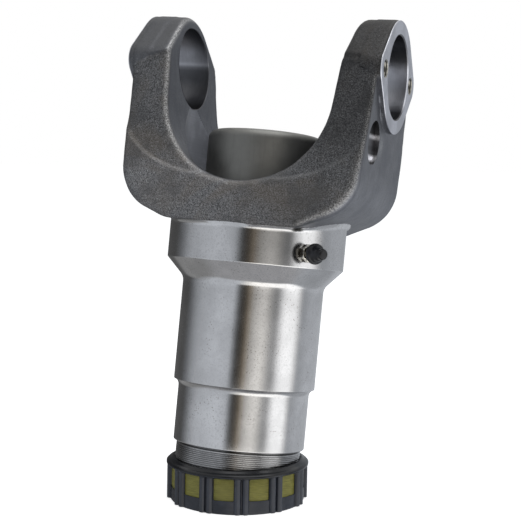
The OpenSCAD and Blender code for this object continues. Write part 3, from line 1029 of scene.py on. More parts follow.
def collar_shell(points, sizes):
    """The collar as a shell: a ring that meets the fork's underside in a hollow blend, which
    dies away towards the fork's front. It ends just inside the fork, where the blend is
    done, and has the nipple's seat cut into it."""
    x, y, z = points.T
    around = np.hypot(x, y)
    fork = forged_envelope(points, sizes)[0]
    draft = math.radians(DRAFT)
    front = (np.abs(y) - sizes.half_depth / MM) * math.cos(draft) + z * math.sin(draft)
    top = -93.4 + 0.5 * np.maximum(np.abs(x) - 38, 0)
    ring = np.maximum(around - sizes.collar_radius / MM, np.maximum(COLLAR_FOOT - z, z - top))
    blend = np.clip(-1.5 * front - 0.1, 0.2, 2.8)
    whole = round_min(fork, np.maximum(ring, front + 0.1), blend)
    shell = np.maximum(np.maximum(whole, -fork - 0.5), 0.03 - (fork - whole))
    along = x * NIPPLE_AXIS[0] + y * NIPPLE_AXIS[1]
    beside = np.hypot(x * NIPPLE_AXIS[1] - y * NIPPLE_AXIS[0], z + BORE_HEIGHT - NIPPLE_RISE)
    seat_radius, hole_radius, hole_end = 5.35, 3.9, 40
    spot = np.maximum(beside - seat_radius, NIPPLE_SEAT - along)
    spot = np.minimum(spot, np.maximum(beside - hole_radius, hole_end - along))
    return np.maximum(np.maximum(shell, POCKET_RADIUS - around), -spot)


def build_collar(sizes, colours):
    """Contours the collar on a grid of radius, turn and height, which closes in the turn."""
    cell, around = 0.62, 384
    radii, heights = np.arange(48.6, 59, cell), np.arange(-117, -84, cell)
    points, faces = contour_round(lambda p: collar_shell(p, sizes), radii, around, heights)
    piece = Piece("collar_skin").add((points + (0, 0, BORE_HEIGHT), faces))
    finishes = [turned_steel(colours)]
    return piece.make(finishes, "forged_steel", ["forged_yoke"], merge=False, sharp=34)


def forging(points, sizes):
    """The forging with all that is cut out of it: the turned clearance round the plug, the
    plug's seat, the bores and the drillings."""
    x, y, z = points.T
    ax, ay = np.abs(x), np.abs(y)
    around = np.hypot(x, y)
    solid = before_cutting(points, sizes)
    centre = (POCKET_RADIUS - POCKET_ROUND, POCKET_FLOOR + POCKET_ROUND)
    pocket = corner(around, z, centre, -90, 0, POCKET_ROUND)
    seat = np.maximum(around - SEAT_RADIUS, SEAT_FLOOR - z)
    seat = np.minimum(seat, around - THROUGH_RADIUS)
    solid = np.maximum(np.maximum(solid, -pocket), -seat)
    # The cross bore and the tapped holes, whose linings stand in them, and the drilling,
    # whose floor follows the drill's point
    bore_room, well_radius, well_end, middle = 0.3, 5.7, 55.0, 40
    bore = np.hypot(y, z) - sizes.bore_radius / MM - bore_room
    across = ay - np.clip(ay, 25, sizes.bolt_spacing / MM / 2)
    wells = np.maximum(np.hypot(across, z) - well_radius, well_end - ax)
    solid = np.maximum(solid, -np.maximum(np.minimum(bore, wells), middle - ax))
    off = np.hypot(y - BALANCE[0], z - BALANCE[1])
    drilled_to, point = 70.8, 1.8
    floor = drilled_to - point * (1 - off / BALANCE[2])
    return np.maximum(solid, -np.maximum(off - BALANCE[2], floor - x))


def build_forging(sizes, colours):
    """Contours the forging, tells forged from machined faces, and paints on its points how rough
    the skin is, its painted light and shade, where edges have rubbed bright, partly worn and
    partly a painted highlight, and where the panels' crease runs with its painted highlight."""
    cell = sizes.cell / MM
    reach = ((-79, 79), (-57, 57), (-97, 36))
    axes = [np.arange(low, high + cell, cell) + 0.013 for low, high in reach]
    points, faces = contour(lambda p: forging(p, sizes), axes)
    middles = points[faces].mean(1)
    cut = before_cutting(middles, sizes) < -0.12
    finish = np.where(cut, 1, 0)
    _, ends, side, gap, border, edge = forged_envelope(points, sizes)
    x, y, z = points.T
    rim = sizes.saddle_edge / MM
    # How rough: drawn from the dies on the front and back, less on the left ear's top
    trimmed = smooth_step(-x, 20, 30) * smooth_step(z - 0.45 * (x + 62), -1.2, 1.6)
    rough = smooth_step(ends, -4.5, -1.2) * (1 - 0.6 * trimmed)
    # Where edges are rubbed bright, partly worn steel and partly a painted highlight, along the
    # saddle at the left and down the flanks' edges, mostly at the right; and a worn scuff beside
    # the balance drilling
    inner = smooth_step(np.minimum(ends, -gap), -rim * 0.66, -rim * 0.34)
    inner *= 0.04 + 0.96 * smooth_step(-x, 12, 34) * smooth_step(z, -72, -40)
    outer = smooth_step(np.minimum(ends, side) / edge, -0.62, -0.33)
    outer *= smooth_step(-z, 3, 9) * (0.12 + 0.88 * smooth_step(x, 20, 50))
    scuff = np.exp(-(((y + 10) / 4.5) ** 2 + ((z + 42) / 5.5) ** 2)) * smooth_step(x, 60, 66)
    glint = np.maximum(np.maximum(inner, 0.62 * outer), 0.6 * scuff)
    # Painted highlight: a light line round the drawn-in panels, where the small ledge at their
    # edge catches light
    crease = 0.3 * np.exp(-((border / 0.55) ** 2)) * smooth_step(ends, -1.5, -0.2)
    crease *= smooth_step(np.abs(x), 16, 34)
    # Painted light and shade: darker towards the right and up the ears, painted shade in the
    # saddle between the ears, and darker on the shoulders
    front = smooth_step(ends, -3.5, -1.0)
    right = smooth_step(x, -30, 62) * front
    tone = 1.14 - 0.34 * right - 0.18 * right * smooth_step(z, -72, -20)
    tone += 0.12 * smooth_step(-x, 35, 60) * smooth_step(-z, 45, 75)
    tone *= 1 - 0.42 * smooth_step(-gap, -1.6, -0.3) * smooth_step(-1.5 - ends, 0, 2)
    tone *= 1 - front * (0.30 * smooth_step(z, -75, -40) + 0.30 * smooth_step(z, -3, 8))
    tone *= 1 - 0.16 * smooth_step(side, -2, -0.5) * smooth_step(z, -80, -50)
    piece = Piece("fork_skin").add((points + (0, 0, BORE_HEIGHT), faces), finish)
    finishes = [forged_skin(colours), cut_steel(colours)]
    skin = piece.make(finishes, "forged_steel", ["forged_yoke"], merge=False, sharp=40)
    paint(skin, rough=rough, glint=glint, crease=crease, tone=tone)
    return skin


def loop(radius, count, centre=(0, 0)):
    """Points of a circle in the plane of Y and Z."""
    turn = full_turn(count)
    return np.stack([centre[0] + radius * np.cos(turn), centre[1] + radius * np.sin(turn)], -1)


def face_loop(sizes, side, grow):
    """The lobed outline of an ear's face, grown or shrunk by an amount: the arcs of the head
    and of the lobes, whose ends the straight tangents join."""
    head, lobe, place, tangent, _ = ear_sizes(sizes, side)
    head, lobe, tangent = head + grow, lobe + grow, math.radians(tangent)
    count = 48
    end = np.linspace(-tangent, tangent, count // 2)
    crown = np.linspace(tangent, math.pi - tangent, count)
    arcs = [(place, lobe, end), (0, head, crown)]
    arcs += [(-place, lobe, end + math.pi), (0, head, crown + math.pi)]
    return np.concatenate(
        [np.stack([middle + r * np.cos(t), r * np.sin(t)], -1) for middle, r, t in arcs]
    )


def flat_sheet(loops, x):
    """Flat region inside the first loop and outside the others, at a place along X."""
    flat = np.concatenate(loops)
    edges, start = [], 0
    for part in loops:
        index = np.arange(len(part)) + start
        edges += np.stack([index, np.roll(index, -1)], -1).tolist()
        start += len(part)
    found = delaunay_2d_cdt([Vector(p) for p in flat], edges, [], 1, 1e-6)
    flat, faces = np.array(found[0]), np.array(found[2])
    u, v = flat[faces].mean(1).T
    for hole in loops[1:]:
        faces = faces[outline_distance(u, v, [tuple(p) for p in hole]) > 0]
        u, v = flat[faces].mean(1).T
    return np.column_stack([np.full(len(flat), x), flat]), faces


def rings_between(loops_and_places):
    """Wall through a row of equal loops, each at its place along X."""
    rows = [
        np.column_stack([np.broadcast_to(place, len(part)), part])
        for part, place in loops_and_places
    ]
    return strip(np.stack(rows))


def build_ear_face(side, sizes, colours):
    """Machined face of one ear: a thin lobed plate on the boss with a lining down the bore
    that follows the leaning inner face, and two threaded wells."""
    _, _, place, _, face = ear_sizes(sizes, side)
    right = side > 0
    bore, chamfer = sizes.bore_radius / MM, 0.62
    piece = Piece("ear_face_right" if right else "ear_face_left")
    around, small = 144, 40
    mouth, lining, back = bore + chamfer, bore + 0.35, 0.55
    well_mouth, well_back = 5.35, 5.62
    wells = [(place, 0), (-place, 0)]
    outline, inset = face_loop(sizes, side, 0), face_loop(sizes, side, -0.3)
    holes = [loop(well_mouth, small, centre) for centre in wells]
    piece.add(flat_sheet([inset, loop(mouth, around), *holes], face))
    holes = [loop(well_back, small, centre) for centre in wells]
    piece.add(flat_sheet([outline, loop(lining, around), *holes], face - back))
    piece.add(rings_between([(outline, face - back), (outline, face - 0.3), (inset, face)]))

    turn = full_turn(around)
    lean = INNER_FACE - (0 if right else LEFT_SHIFT) + INNER_SLOPE * bore * np.sin(turn)
    pocket = np.sqrt(np.maximum(POCKET_RADIUS**2 - (bore * np.cos(turn)) ** 2, 0))
    inner = np.maximum(lean, pocket) - 0.12
    wall = [(mouth, face), (bore, face - chamfer), (bore, inner + 0.35)]
    wall += [(lining, inner), (lining, face - back)]
    piece.add(rings_between([(loop(radius, around), x) for radius, x in wall]), 1)

    pitch, depth, core = 1.5, 19.0, 4.75
    steps = np.arange(0.6 + pitch / 2, depth - 1, pitch / 2)
    radii = np.where(np.arange(len(steps)) % 2, core, core + 0.55)
    well = [(well_mouth, 0), (core, 0.6), *zip(radii, steps), (core, depth)]
    well += [(0.4, depth + 2.3), (0, depth + 2.4)]
    jacket = [(well_back, back), (well_back, depth + 2.6), (0, depth + 2.9)]
    for centre in wells:
        for section in (well, jacket):
            rows = [(loop(radius, small, centre), face - down) for radius, down in section]
            piece.add(rings_between(rows), 2)
    for part in piece.points:
        part[:, 0] *= side
        part[:, 2] += BORE_HEIGHT
    # The lining takes the painted light and shade of its side's bore
    bored = bored_steel(colours, RIGHT_BORE_SHADING if right else LEFT_BORE_SHADING)
    # The wells take a darker copy of the plating as painted shade
    finishes = [machined_steel(colours), bored, plated_steel(colours, "Shaded threaded steel", 0.35)]
    return piece.make(finishes, "forged_steel", ["forged_yoke"], sharp=30)


# The sleeve ------------------------------------------------------------------------------


def build_sleeve(sizes, colours):
    """The sleeve as one closed skin over the turn and a row number: the turned outside, the
    thread, whose rows climb one pitch in a turn, the end, the splined bore, where a space's
    radius jumps at its walls, and the relief above it."""
    major, minor, half_space = 31.9, 27.2, 3.1
    pitch_turn = 360 / sizes.spline_count
    wall_out = math.degrees(math.asin(half_space / major))
    wall_in = math.degrees(math.asin(half_space / minor))
    half = [0, wall_out * 0.35, wall_out * 0.7, wall_out, wall_in]
    half += list(np.linspace(wall_in, pitch_turn / 2, 4)[1:])
    offsets = np.array([-a for a in half[:0:-1]] + half)[:-1]
    turn = np.concatenate([offsets + i * pitch_turn for i in range(sizes.spline_count)])
    turn = np.radians(np.append(turn, turn[0] + 360))
    in_space = np.tile(np.abs(offsets) < (wall_out + wall_in) / 2, sizes.spline_count)
    in_space = np.append(in_space, in_space[0])
    spline = np.where(in_space, major, minor)

    upper, lower = sizes.sleeve_radius / MM, sizes.lower_radius / MM
    step = sizes.step_height / MM
    collar, fillet = 53.0, 7
    neck = 131.6 - fillet * math.tan(math.radians(22.5))
    outside = [(collar - 0.02, 143.05)]
    outside += arc((collar - 1, 143.1), 1, -3, -45, 4)
    outside += arc((upper + fillet, neck), fillet, 135, 180, 10)
    outside += [(upper, 125), (upper, 110), (upper, 95), (upper, 82)]
    outside += arc((upper - 0.25, step + 3.0), 0.25, 0, -60, 3)
    outside += arc((lower + 4.4, step - 1.3), 4.4, 112, 180, 12)
    outside += [(lower, 60), (lower, 50), (lower, 42)]
    outside += arc((lower - 0.7, 34.9), 0.7, 0, -60, 4)
    outside += [(36.3, 33.9), (36.1, 33.7), (36.1, 33.2), (36.3, 33.0)]
    major_thread = sizes.thread_radius / MM
    outside += [(major_thread - 0.6, 32.9), (major_thread - 0.15, 32.55), (major_thread, 32.1)]
    pitch, depth = sizes.thread_pitch / MM, sizes.thread_depth / MM
    top, foot = 31.8, 10.9
    phases = np.array([0, 0.14, 0.5, 0.64])
    turns = int((top - foot) / pitch) + 3
    climb = np.concatenate([phases + i for i in range(turns)])[::-1]
    height = foot + pitch * (climb[:, None] - 1 + turn[None, :] / (2 * math.pi))
    height = np.clip(height, foot, top)
    phase = ((height - foot) / pitch - turn[None, :] / (2 * math.pi)) % 1
    flank = np.where(phase < 0.5, (phase - 0.14) / 0.36, (1 - phase) / 0.36)
    thread = major_thread - depth * np.clip(flank, 0, 1)
    inside = [(36.2, 10.0), (33.4, 10.0), (np.maximum(spline, 32.9), 10.4)]
    inside += [(np.maximum(spline, 30.5), 11.6)]
    inside += [(spline, z) for z in (13.2, 45, 80, 115, 156.6)]
    inside += [(np.maximum(spline, 30), 158), (32.5, 158.2), (32.5, 177.9)]
    inside += [(37.5, 177.9), (37.5, 143.05)]
    rows = [*outside, *zip(thread, height), *inside]
    radius, rise = (
        np.stack([np.broadcast_to(row[i], turn.shape) for row in rows]) for i in (0, 1)
    )
    grid = around_axis(radius, turn, rise)
    piece = Piece("sleeve_skin").add(strip(grid, wrap_rows=True, wrap_columns=False))
    return piece.make([turned_steel(colours)], "forged_steel", ["forged_yoke"], sharp=34)


# Plug, nipple, cap and seal ---------------------------------------------------------------


def build_plug(colours):
    """Drawn cup in the sleeve: a rounded crown over a thin wall, hollow from below."""
    outer, inner, crown = 35.0, 32.5, 220.9
    profile = [(0, crown), (8, crown - 0.02), (16, crown - 0.05), (24, crown - 0.1)]
    profile += arc((outer - 5, crown - 5.1), 5, 88, 0, 12)
    profile += [(outer, 206), (outer, 198), (outer, 190), (outer, 179)]
    profile += [(outer - 0.7, 178), (inner + 0.2, 178), (inner, 178.3), (inner, 200)]
    profile += arc((inner - 2.5, crown - 5), 2.5, 0, 90, 6)
    profile += [(20, crown - 2.5), (0, crown - 2.5)]
    piece = Piece("plug_cup").add(strip(turned(profile, 128)))
    return piece.make([drawn_steel(colours)], "drawn_steel", ["core_plug"])


def hexagon(flats):
    """Distance from the centre to a hexagon's side, by the turn."""

    def reach(turn):
        """Half the distance over the flats, over the cosine of the turn from a side's middle."""
        return flats / 2 / np.cos((turn + math.pi / 6) % (math.pi / 3) - math.pi / 6)

    return reach


def build_nipple(colours):
    """Grease nipple across the collar: a hexagon with turned corners, a necked head with its
    port, and the threaded shank in the collar."""
    piece = Piece("nipple_body")
    body = [(0, 0.05), (4.0, 0.05), (4.7, 0.3), (5.2, 0.8)]
    body += [(5.2, 5.2), (4.8, 5.7), (4.2, 6.0), (3.3, 6.0)]
    points, faces = strip(turned(body, 96, NIPPLE_AXIS, NIPPLE_START, hexagon(9)))
    rise = (points[faces].mean(1) - NIPPLE_START) @ np.array(NIPPLE_AXIS)
    piece.add((points, faces), np.where((rise > 0.8) & (rise < 5.2), 1, 0))
    head = [(0, 5.5), (3.3, 5.5), (3.3, 6.8), (2.95, 7.2), (2.6, 7.6), (2.6, 9.2), (2.8, 9.9)]
    head += [(3.3, 10.4), (3.3, 12.2), (3.0, 12.9), (2.4, 13.8), (1.9, 14.45), (1.0, 14.5)]
    head += [(0.95, 13.6), (0, 13.4)]
    piece.add(strip(turned(head, 64, NIPPLE_AXIS, NIPPLE_START)))
    shank = [(0, -10.4), (3.0, -10.4)]
    for root in np.arange(-10, 0.2, 0.5):
        shank += [(3.45, root), (3.85, root + 0.25)]
    shank += [(0, 0.3)]
    piece.add(strip(turned(shank, 48, NIPPLE_AXIS, NIPPLE_START)))
    # The hexagon's sides take a darker copy of the plating as painted shade
    finishes = [plated_steel(colours), plated_steel(colours, "Shaded plating", 0.45)]
    return piece.make(finishes, "plated_steel", ["grease_nipple"], sharp=32)


def build_nipple_cap(colours):
    """Push-on dust cap: a round flange, a waist and a nub with a rounded tip."""
    profile = [(3.4, 9.7), (4.6, 9.62), (5.4, 9.66), (5.8, 9.85), (6.0, 10.3), (6.0, 11.3)]
    profile += [(5.85, 11.75), (5.4, 12.05), (4.9, 12.25), (4.5, 12.7), (4.2, 13.6), (4.0, 14.8)]
    profile += [(3.7, 15.6), (3.35, 16.0), (3.2, 16.5), (3.2, 17.6)]
    profile += arc((1.6, 17.9), 1.6, 0, 90, 8) + [(0, 19.5), (0, 14.8), (3.0, 14.8), (3.4, 14.4)]
    grid = turned(profile, 72, NIPPLE_AXIS, NIPPLE_START)
    piece = Piece("nipple_dust_cap").add(strip(grid, wrap_rows=True))
    return piece.make([soft_plastic(colours)], "soft_black_plastic", ["nipple_cap"])


# The radius at which the cap's windows are measured
WINDOW_RADIUS = 40.3


def leaned(points, sizes):
    """Points of the cap, its seal and the floor, as the cap sits askew on the thread: they
    turn by the nod and then by the lean about a point on the axis, half way up the cap,
    and are set aside and raised."""
    turn, middle = sizes.lean_turn, 12.0
    right = np.array((math.cos(turn), math.sin(turn), 0))
    front = np.array((math.sin(turn), -math.cos(turn), 0))
    x, y, z = points @ right, points @ front, points[:, 2] - middle
    sine, cosine = math.sin(sizes.nod), math.cos(sizes.nod)
    y, z = y * cosine + z * sine, z * cosine - y * sine
    sine, cosine = math.sin(sizes.lean), math.cos(sizes.lean)
    x, z = x * cosine - z * sine + sizes.aside / MM, z * cosine + x * sine
    up = z + middle + sizes.raised / MM
    return x[:, None] * right + y[:, None] * front + up[:, None] * np.array((0, 0, 1))


def thread_cap(points, sizes):
    """The cap: a turned section, grown by its edge radius, with a pair of half-round beads
    between each two windows, and the windows cut through with rounded corners."""
    x, y, z = points.T
    around = np.hypot(x, y)
    edge = 0.35
    section = [(33.15, edge), (39.75, edge), (39.95, 0.8), (39.95, 21.1), (41.6, 21.45)]
    section += [(42.25, 21.9), (42.25, 22.5), (41.5, 23.2), (40.2, 23.75), (38.6, 25.05)]
    section += [(37.85, 25.05), (37.85, 21.55), (39.93, 21.4), (39.93, 8.7), (38.85, 8.7)]
    section += [(38.85, 2.15), (33.15, 2.15)]
    body = outline_distance(around, z, section) - edge
    pitch = 2 * math.pi / sizes.window_count
    turn = np.arctan2(x, -y) - sizes.window_turn
    in_window = (turn + pitch / 2) % pitch - pitch / 2
    in_zone = turn % pitch - pitch / 2
    bead = sizes.bead_radius / MM
    across = around * np.sin(in_zone)
    out = around * np.cos(in_zone) - 40.1
    rod = np.hypot(np.abs(across) - 2.3, out) - bead
    rod = round_max(rod, np.maximum(0.35 - z, z - 21.6), 0.4)
    body = round_min(body, np.maximum(rod, 38.9 - around), 0.3)
    wide = WINDOW_RADIUS * (np.abs(in_window) - sizes.window_half)
    tall = np.abs(z - 14.3) - 6.3
    hole = round_max(wide, tall, 0.7)
    hole = np.maximum(hole, 37.9 - around)
    return round_max(body, -hole, 0.22)


def build_thread_cap(sizes, colours):
    """Contours the cap on a grid of radius, turn and height, which closes in the turn."""
    cell = sizes.cell / MM
    count = sizes.window_count
    around = int(2 * math.pi * WINDOW_RADIUS / cell / count) * count
    radii, heights = np.arange(32.2, 43.6, cell), np.arange(-0.6, 26.4, cell)
    points, faces = contour_round(lambda p: thread_cap(p, sizes), radii, around, heights)
    piece = Piece("windowed_cap").add((leaned(points, sizes), faces))
    finishes = [cap_plastic(colours)]
    cap = piece.make(finishes, "black_plastic", ["thread_cap"], merge=False, sharp=50)
    rise = points[:, 2]
    # A painted highlight on the beads' crowns, and painted shade on the rim's top
    crown = smooth_step(np.hypot(points[:, 0], points[:, 1]), 41.05, 41.4)
    crown *= 1 - smooth_step(rise, 20.6, 21.2)
    paint(cap, shaded=smooth_step(rise, 21.6, 22.6), rubbed=crown)
    return cap


def build_seal(sizes, colours):
    """Seal behind the windows: a skirt round the thread and a lip under the sleeve's end."""
    profile = [(32.2, 3.6), (32.9, 2.65), (33.3, 2.52), (38.3, 2.52), (38.44, 2.7)]
    profile += [(38.44, 7.0), (39.3, 7.05), (39.5, 7.2), (39.55, 7.6), (39.55, 14)]
    profile += [(39.55, 20.4), (39.4, 20.8), (39.2, 20.98), (37.7, 20.98), (37.46, 20.8)]
    profile += [(37.46, 10.0), (33.7, 10.0), (32.5, 9.2), (32.2, 8.2)]
    points, faces = strip(turned(profile, 160), wrap_rows=True)
    piece = Piece("seal_skirt").add((leaned(points, sizes), faces))
    return piece.make([olive_seal(colours)], "olive_rubber", ["seal_ring"])


# The studio ------------------------------------------------------------------------------


def light_walls(studio):
    """A round room of light that the camera doesn't see. Its brightness follows the bearing
    from the camera, as the lamps and dark gaps of a workshop do, and below the object's
    foot it is the pale floor as shiny steel sees it: bright far out, dim underneath."""
    reach = 1.25
    radii = np.array([0.02, 0.6, reach, reach, reach, reach])[:, None]
    heights = np.array([-1.3, -1.3, -1.3, -0.4, 0.5, 1.0])[:, None]
    points, faces = strip(around_axis(radii, full_turn(144), heights))
    walls = new_object("light_walls", points, faces[:, ::-1].tolist())
    f = new_finish("Walls of light")
    x, y, z = f.parts()
    bearing = x.math("ARCTAN2", x, y * -1) - studio.camera_turn
    share = (bearing / (2 * math.pi) + 1.5).math("FRACT", bearing / (2 * math.pi) + 1.5)

    def tinted(stops):
        """Stops of a ramp, from bearings in degrees, brightnesses and tints."""
        return [((d + 180) / 360, tuple(v * t for t in tint)) for d, v, tint in stops]

    cool, plain, warm, brown = (0.96, 1.0, 1.06), (1, 1, 1), (1.03, 1.0, 0.95), (1.22, 1.0, 0.74)
    bands = [
        (-180, 0.060, plain), (-124, 0.060, plain), (-112, 0.12, cool), (-98, 0.27, cool),
        (-86, 0.36, cool), (-50, 0.44, cool), (-28, 0.43, cool), (-19, 0.030, plain),
        (-9, 0.032, brown), (-3, 0.17, brown), (4, 0.38, warm), (12, 0.56, warm),
        (20, 0.66, warm), (27, 0.50, warm), (36, 0.26, plain), (43, 0.24, plain),
        (51, 0.72, plain), (58, 0.95, plain), (76, 0.95, plain), (83, 0.56, plain),
        (90, 0.30, cool), (110, 0.38, cool), (145, 0.33, cool), (180, 0.24, cool),
    ]
    below = [
        (-180, 0.16, plain), (-110, 0.20, plain), (-80, 0.40, cool), (-24, 0.42, cool),
        (-12, 0.60, warm), (4, 1.0, warm), (84, 1.0, plain), (98, 0.32, cool),
        (140, 0.25, cool), (180, 0.25, cool),
    ]
    bands, below = f.ramp(share, tinted(bands)), f.ramp(share, tinted(below))
    turned_to = bearing.step(-0.14, 0.0) * (1 - bearing.step(0.70, 0.84))
    dimmed = f.mix(bands, (0, 0, 0), z.step(0.05, 0.15) * turned_to.span(0.2, 0.6))
    lower = f.mix(dimmed, below, (z * -1).step(0.26, 0.44))
    inward = (reach - (x * x + y * y) ** 0.5).step(0.16, 0.50)
    shown = f.mix(lower, (0.25, 0.25, 0.257), inward)
    shader = f.glow(2.0 * studio.room_light, shown)
    walls.data.materials.append(f.end("ShaderNodeOutputMaterial", shader))
    walls.visible_camera = False
    walls.visible_shadow = False
    return walls


def pale_floor(sizes):
    """Plain pale floor under the foot of the askew cap: the camera sees it white, less the
    shadow that falls on it."""
    rings = np.array([0, 0.2, 0.6, 2, 8])[:, None]
    points, faces = strip(around_axis(rings, full_turn(96), -0.0002))
    floor = new_object("pale_floor", leaned(points / MM, sizes) * MM, faces.tolist())
    close_seams(floor.data, closed=False)
    f = new_finish("Pale floor")
    seen = f.reading(f.node("ShaderNodeLightPath").outputs["Is Camera Ray"])
    cloth = f.node("ShaderNodeBsdfDiffuse", None, {"Color": (0.80, 0.80, 0.80, 1)}).outputs[0]
    both = f.node("ShaderNodeAddShader", None, {0: cloth, 1: f.glow(0.82)}).outputs[0]
    shader = f.blended(seen, cloth, both)
    floor.data.materials.append(f.end("ShaderNodeOutputMaterial", shader))
    floor.visible_glossy = False
    return floor


def white_world():
    """White behind the object, also in glossy and clear surfaces, and a dim fill elsewhere."""
    world = bpy.data.worlds.new("Studio")
    bpy.context.scene.world = world
    f = Finish(world)
    paths = f.node("ShaderNodeLightPath").outputs
    names = ("Is Camera Ray", "Is Glossy Ray", "Is Transmission Ray")
    seen, shiny, clear = (f.reading(paths[name]) for name in names)
    white, fill = (
        f.node("ShaderNodeBackground", None, {"Color": shown, "Strength": strength}).outputs[0]
        for shown, strength in (((1, 1, 1, 1), 1.0), ((0.9, 0.95, 1, 1), 0.35))
    )
    f.end("ShaderNodeOutputWorld", f.blended(seen + (shiny + clear), fill, white))


def soft_lamp(name, place, target, size, power):
    """A square softbox that faces its target."""
    lamp = bpy.data.lights.new(name, "AREA")
    lamp.shape, lamp.size, lamp.energy = "SQUARE", size, power
    made = bpy.data.objects.new(name, lamp)
    made.location = place
    made.rotation_euler = (Vector(target) - Vector(place)).to_track_quat("-Z", "Y").to_euler()
    bpy.context.scene.collection.objects.link(made)
    return made


# The camera, solved from the object's edges: the angles of its rise above the point it aims
# at and of its roll, that point's place to the right of the axis and below the cross bore,
# its lens and sensor width in millimetres, and its shift
LIFT, ROLL = math.radians(-0.307), math.radians(5.314)
AIM_RIGHT, AIM_DOWN = 1.571, 113.905
LENS, SENSOR, SHIFT = 91.57, 36, (0.0044, 0.0007)


def set_camera(studio):
    """Places the camera at its bearing, rise and distance from the point it aims at."""
    turn = studio.camera_turn
    right = Vector((math.cos(turn), math.sin(turn), 0))
    target = (AIM_RIGHT * right + Vector((0, 0, BORE_HEIGHT - AIM_DOWN))) * MM
    flat = math.cos(LIFT)
    back = Vector((math.sin(turn) * flat, -math.cos(turn) * flat, math.sin(LIFT)))
    up = back.cross(right)
    tilted_right = right * math.cos(ROLL) + up * math.sin(ROLL)
    tilted_up = up * math.cos(ROLL) - right * math.sin(ROLL)
    data = bpy.data.cameras.new("Camera")
    data.lens, data.sensor_width = LENS, SENSOR
    data.shift_x, data.shift_y = SHIFT
    data.clip_start, data.clip_end = 0.01, 50
    camera = bpy.data.objects.new("Camera", data)
    axes = Matrix((tilted_right, tilted_up, back)).transposed().to_4x4()
    camera.matrix_world = Matrix.Translation(target + back * studio.camera_distance) @ axes
    bpy.context.scene.collection.objects.link(camera)
    bpy.context.scene.camera = camera


# Operators -------------------------------------------------------------------------------


class YOKE_OT_forging(bpy.types.Operator):
    """Contour the forging with its collar, clearance, bores and drillings"""

    bl_idname = "yoke.forging"
    bl_label = "Build Forging"

    def execute(self, context):
        scene = context.scene
        build_forging(scene.yoke_fork, scene.yoke_colours)
        return {"FINISHED"}


class YOKE_OT_collar(bpy.types.Operator):
    """Contour the turned collar under the fork, with the nipple's seat"""

    bl_idname = "yoke.collar"
    bl_label = "Build Collar"

    def execute(self, context):
        scene = context.scene
        build_collar(scene.yoke_fork, scene.yoke_colours)
        return {"FINISHED"}


class YOKE_OT_ear_faces(bpy.types.Operator):
    """Lay the machined faces, bore linings and threaded wells on both ears"""

    bl_idname = "yoke.ear_faces"
    bl_label = "Build Ear Faces"

    def execute(self, context):
        scene = context.scene
        for side in (1, -1):
            build_ear_face(side, scene.yoke_fork, scene.yoke_colours)
        return {"FINISHED"}


class YOKE_OT_sleeve(bpy.types.Operator):
    """Turn the sleeve with its thread and splined bore"""

    bl_idname = "yoke.sleeve"
    bl_label = "Build Sleeve"

    def execute(self, context):
        scene = context.scene
        build_sleeve(scene.yoke_sleeve, scene.yoke_colours)
        return {"FINISHED"}


class YOKE_OT_plug(bpy.types.Operator):
    """Draw the cup that closes the sleeve"""

    bl_idname = "yoke.plug"
    bl_label = "Build Plug"

    def execute(self, context):
        build_plug(context.scene.yoke_colours)
        return {"FINISHED"}


class YOKE_OT_nipple(bpy.types.Operator):
    """Build the grease nipple and its dust cap, and finish the ball and spring inside"""

    bl_idname = "yoke.nipple"
    bl_label = "Build Grease Nipple"

    def execute(self, context):
        colours = context.scene.yoke_colours
        build_nipple(colours)
        build_nipple_cap(colours)
        finishes = {"nipple_ball": ball_steel(), "nipple_spring": plated_steel(colours)}
        for name, finish in finishes.items():
            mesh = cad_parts[name].data
            mesh.materials.clear()
            mesh.materials.append(finish)
        return {"FINISHED"}


class YOKE_OT_cap(bpy.types.Operator):
    """Mould the windowed cap and the seal behind its windows"""

    bl_idname = "yoke.cap"
    bl_label = "Build Cap and Seal"

    def execute(self, context):
        scene = context.scene
        build_thread_cap(scene.yoke_cap, scene.yoke_colours)
        build_seal(scene.yoke_cap, scene.yoke_colours)
        return {"FINISHED"}


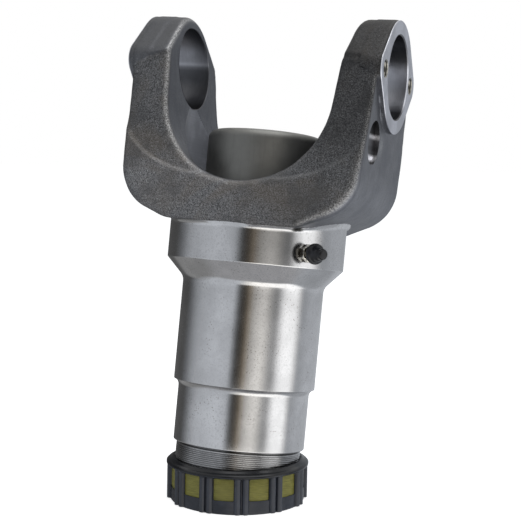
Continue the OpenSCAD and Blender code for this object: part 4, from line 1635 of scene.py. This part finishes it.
class YOKE_OT_studio(bpy.types.Operator):
    """Set up the floor, the light, the world and the camera"""

    bl_idname = "yoke.studio"
    bl_label = "Build Studio"

    def execute(self, context):
        studio = context.scene.yoke_studio
        context.scene.view_settings.view_transform = "Standard"
        light_walls(studio)
        pale_floor(context.scene.yoke_cap)
        white_world()
        soft_lamp("Overhead softbox", (0.15, -0.1, 1.3), (0, 0, 0.15), 0.9, studio.top_light)
        set_camera(studio)
        return {"FINISHED"}


OPERATORS = [
    YOKE_OT_forging,
    YOKE_OT_collar,
    YOKE_OT_ear_faces,
    YOKE_OT_sleeve,
    YOKE_OT_plug,
    YOKE_OT_nipple,
    YOKE_OT_cap,
    YOKE_OT_studio,
]


class YOKE_PT_panel(bpy.types.Panel):
    """Lists the steps that build the yoke"""

    bl_label = "Forged Slip Yoke"
    bl_idname = "YOKE_PT_panel"
    bl_space_type = "VIEW_3D"
    bl_region_type = "UI"
    bl_category = "Yoke"

    def draw(self, context):
        for operator in OPERATORS:
            self.layout.operator(operator.bl_idname)
        for name in GROUPS:
            box = self.layout.box()
            group = getattr(context.scene, name)
            for key in group.__annotations__:
                box.prop(group, key)


def register():
    """Registers the classes and hangs their sizes on the scene."""
    for name, group in GROUPS.items():
        bpy.utils.register_class(group)
        setattr(bpy.types.Scene, name, PointerProperty(type=group))
    for operator in OPERATORS:
        bpy.utils.register_class(operator)
    bpy.utils.register_class(YOKE_PT_panel)


def unregister():
    """Takes back what register does."""
    bpy.utils.unregister_class(YOKE_PT_panel)
    for operator in reversed(OPERATORS):
        bpy.utils.unregister_class(operator)
    for name, group in GROUPS.items():
        delattr(bpy.types.Scene, name)
        bpy.utils.unregister_class(group)


def main():
    """Builds everything in order."""
    register()
    bpy.ops.yoke.forging()
    bpy.ops.yoke.collar()
    bpy.ops.yoke.ear_faces()
    bpy.ops.yoke.sleeve()
    bpy.ops.yoke.plug()
    bpy.ops.yoke.nipple()
    bpy.ops.yoke.cap()
    bpy.ops.yoke.studio()


if __name__ == "__main__":
    main()
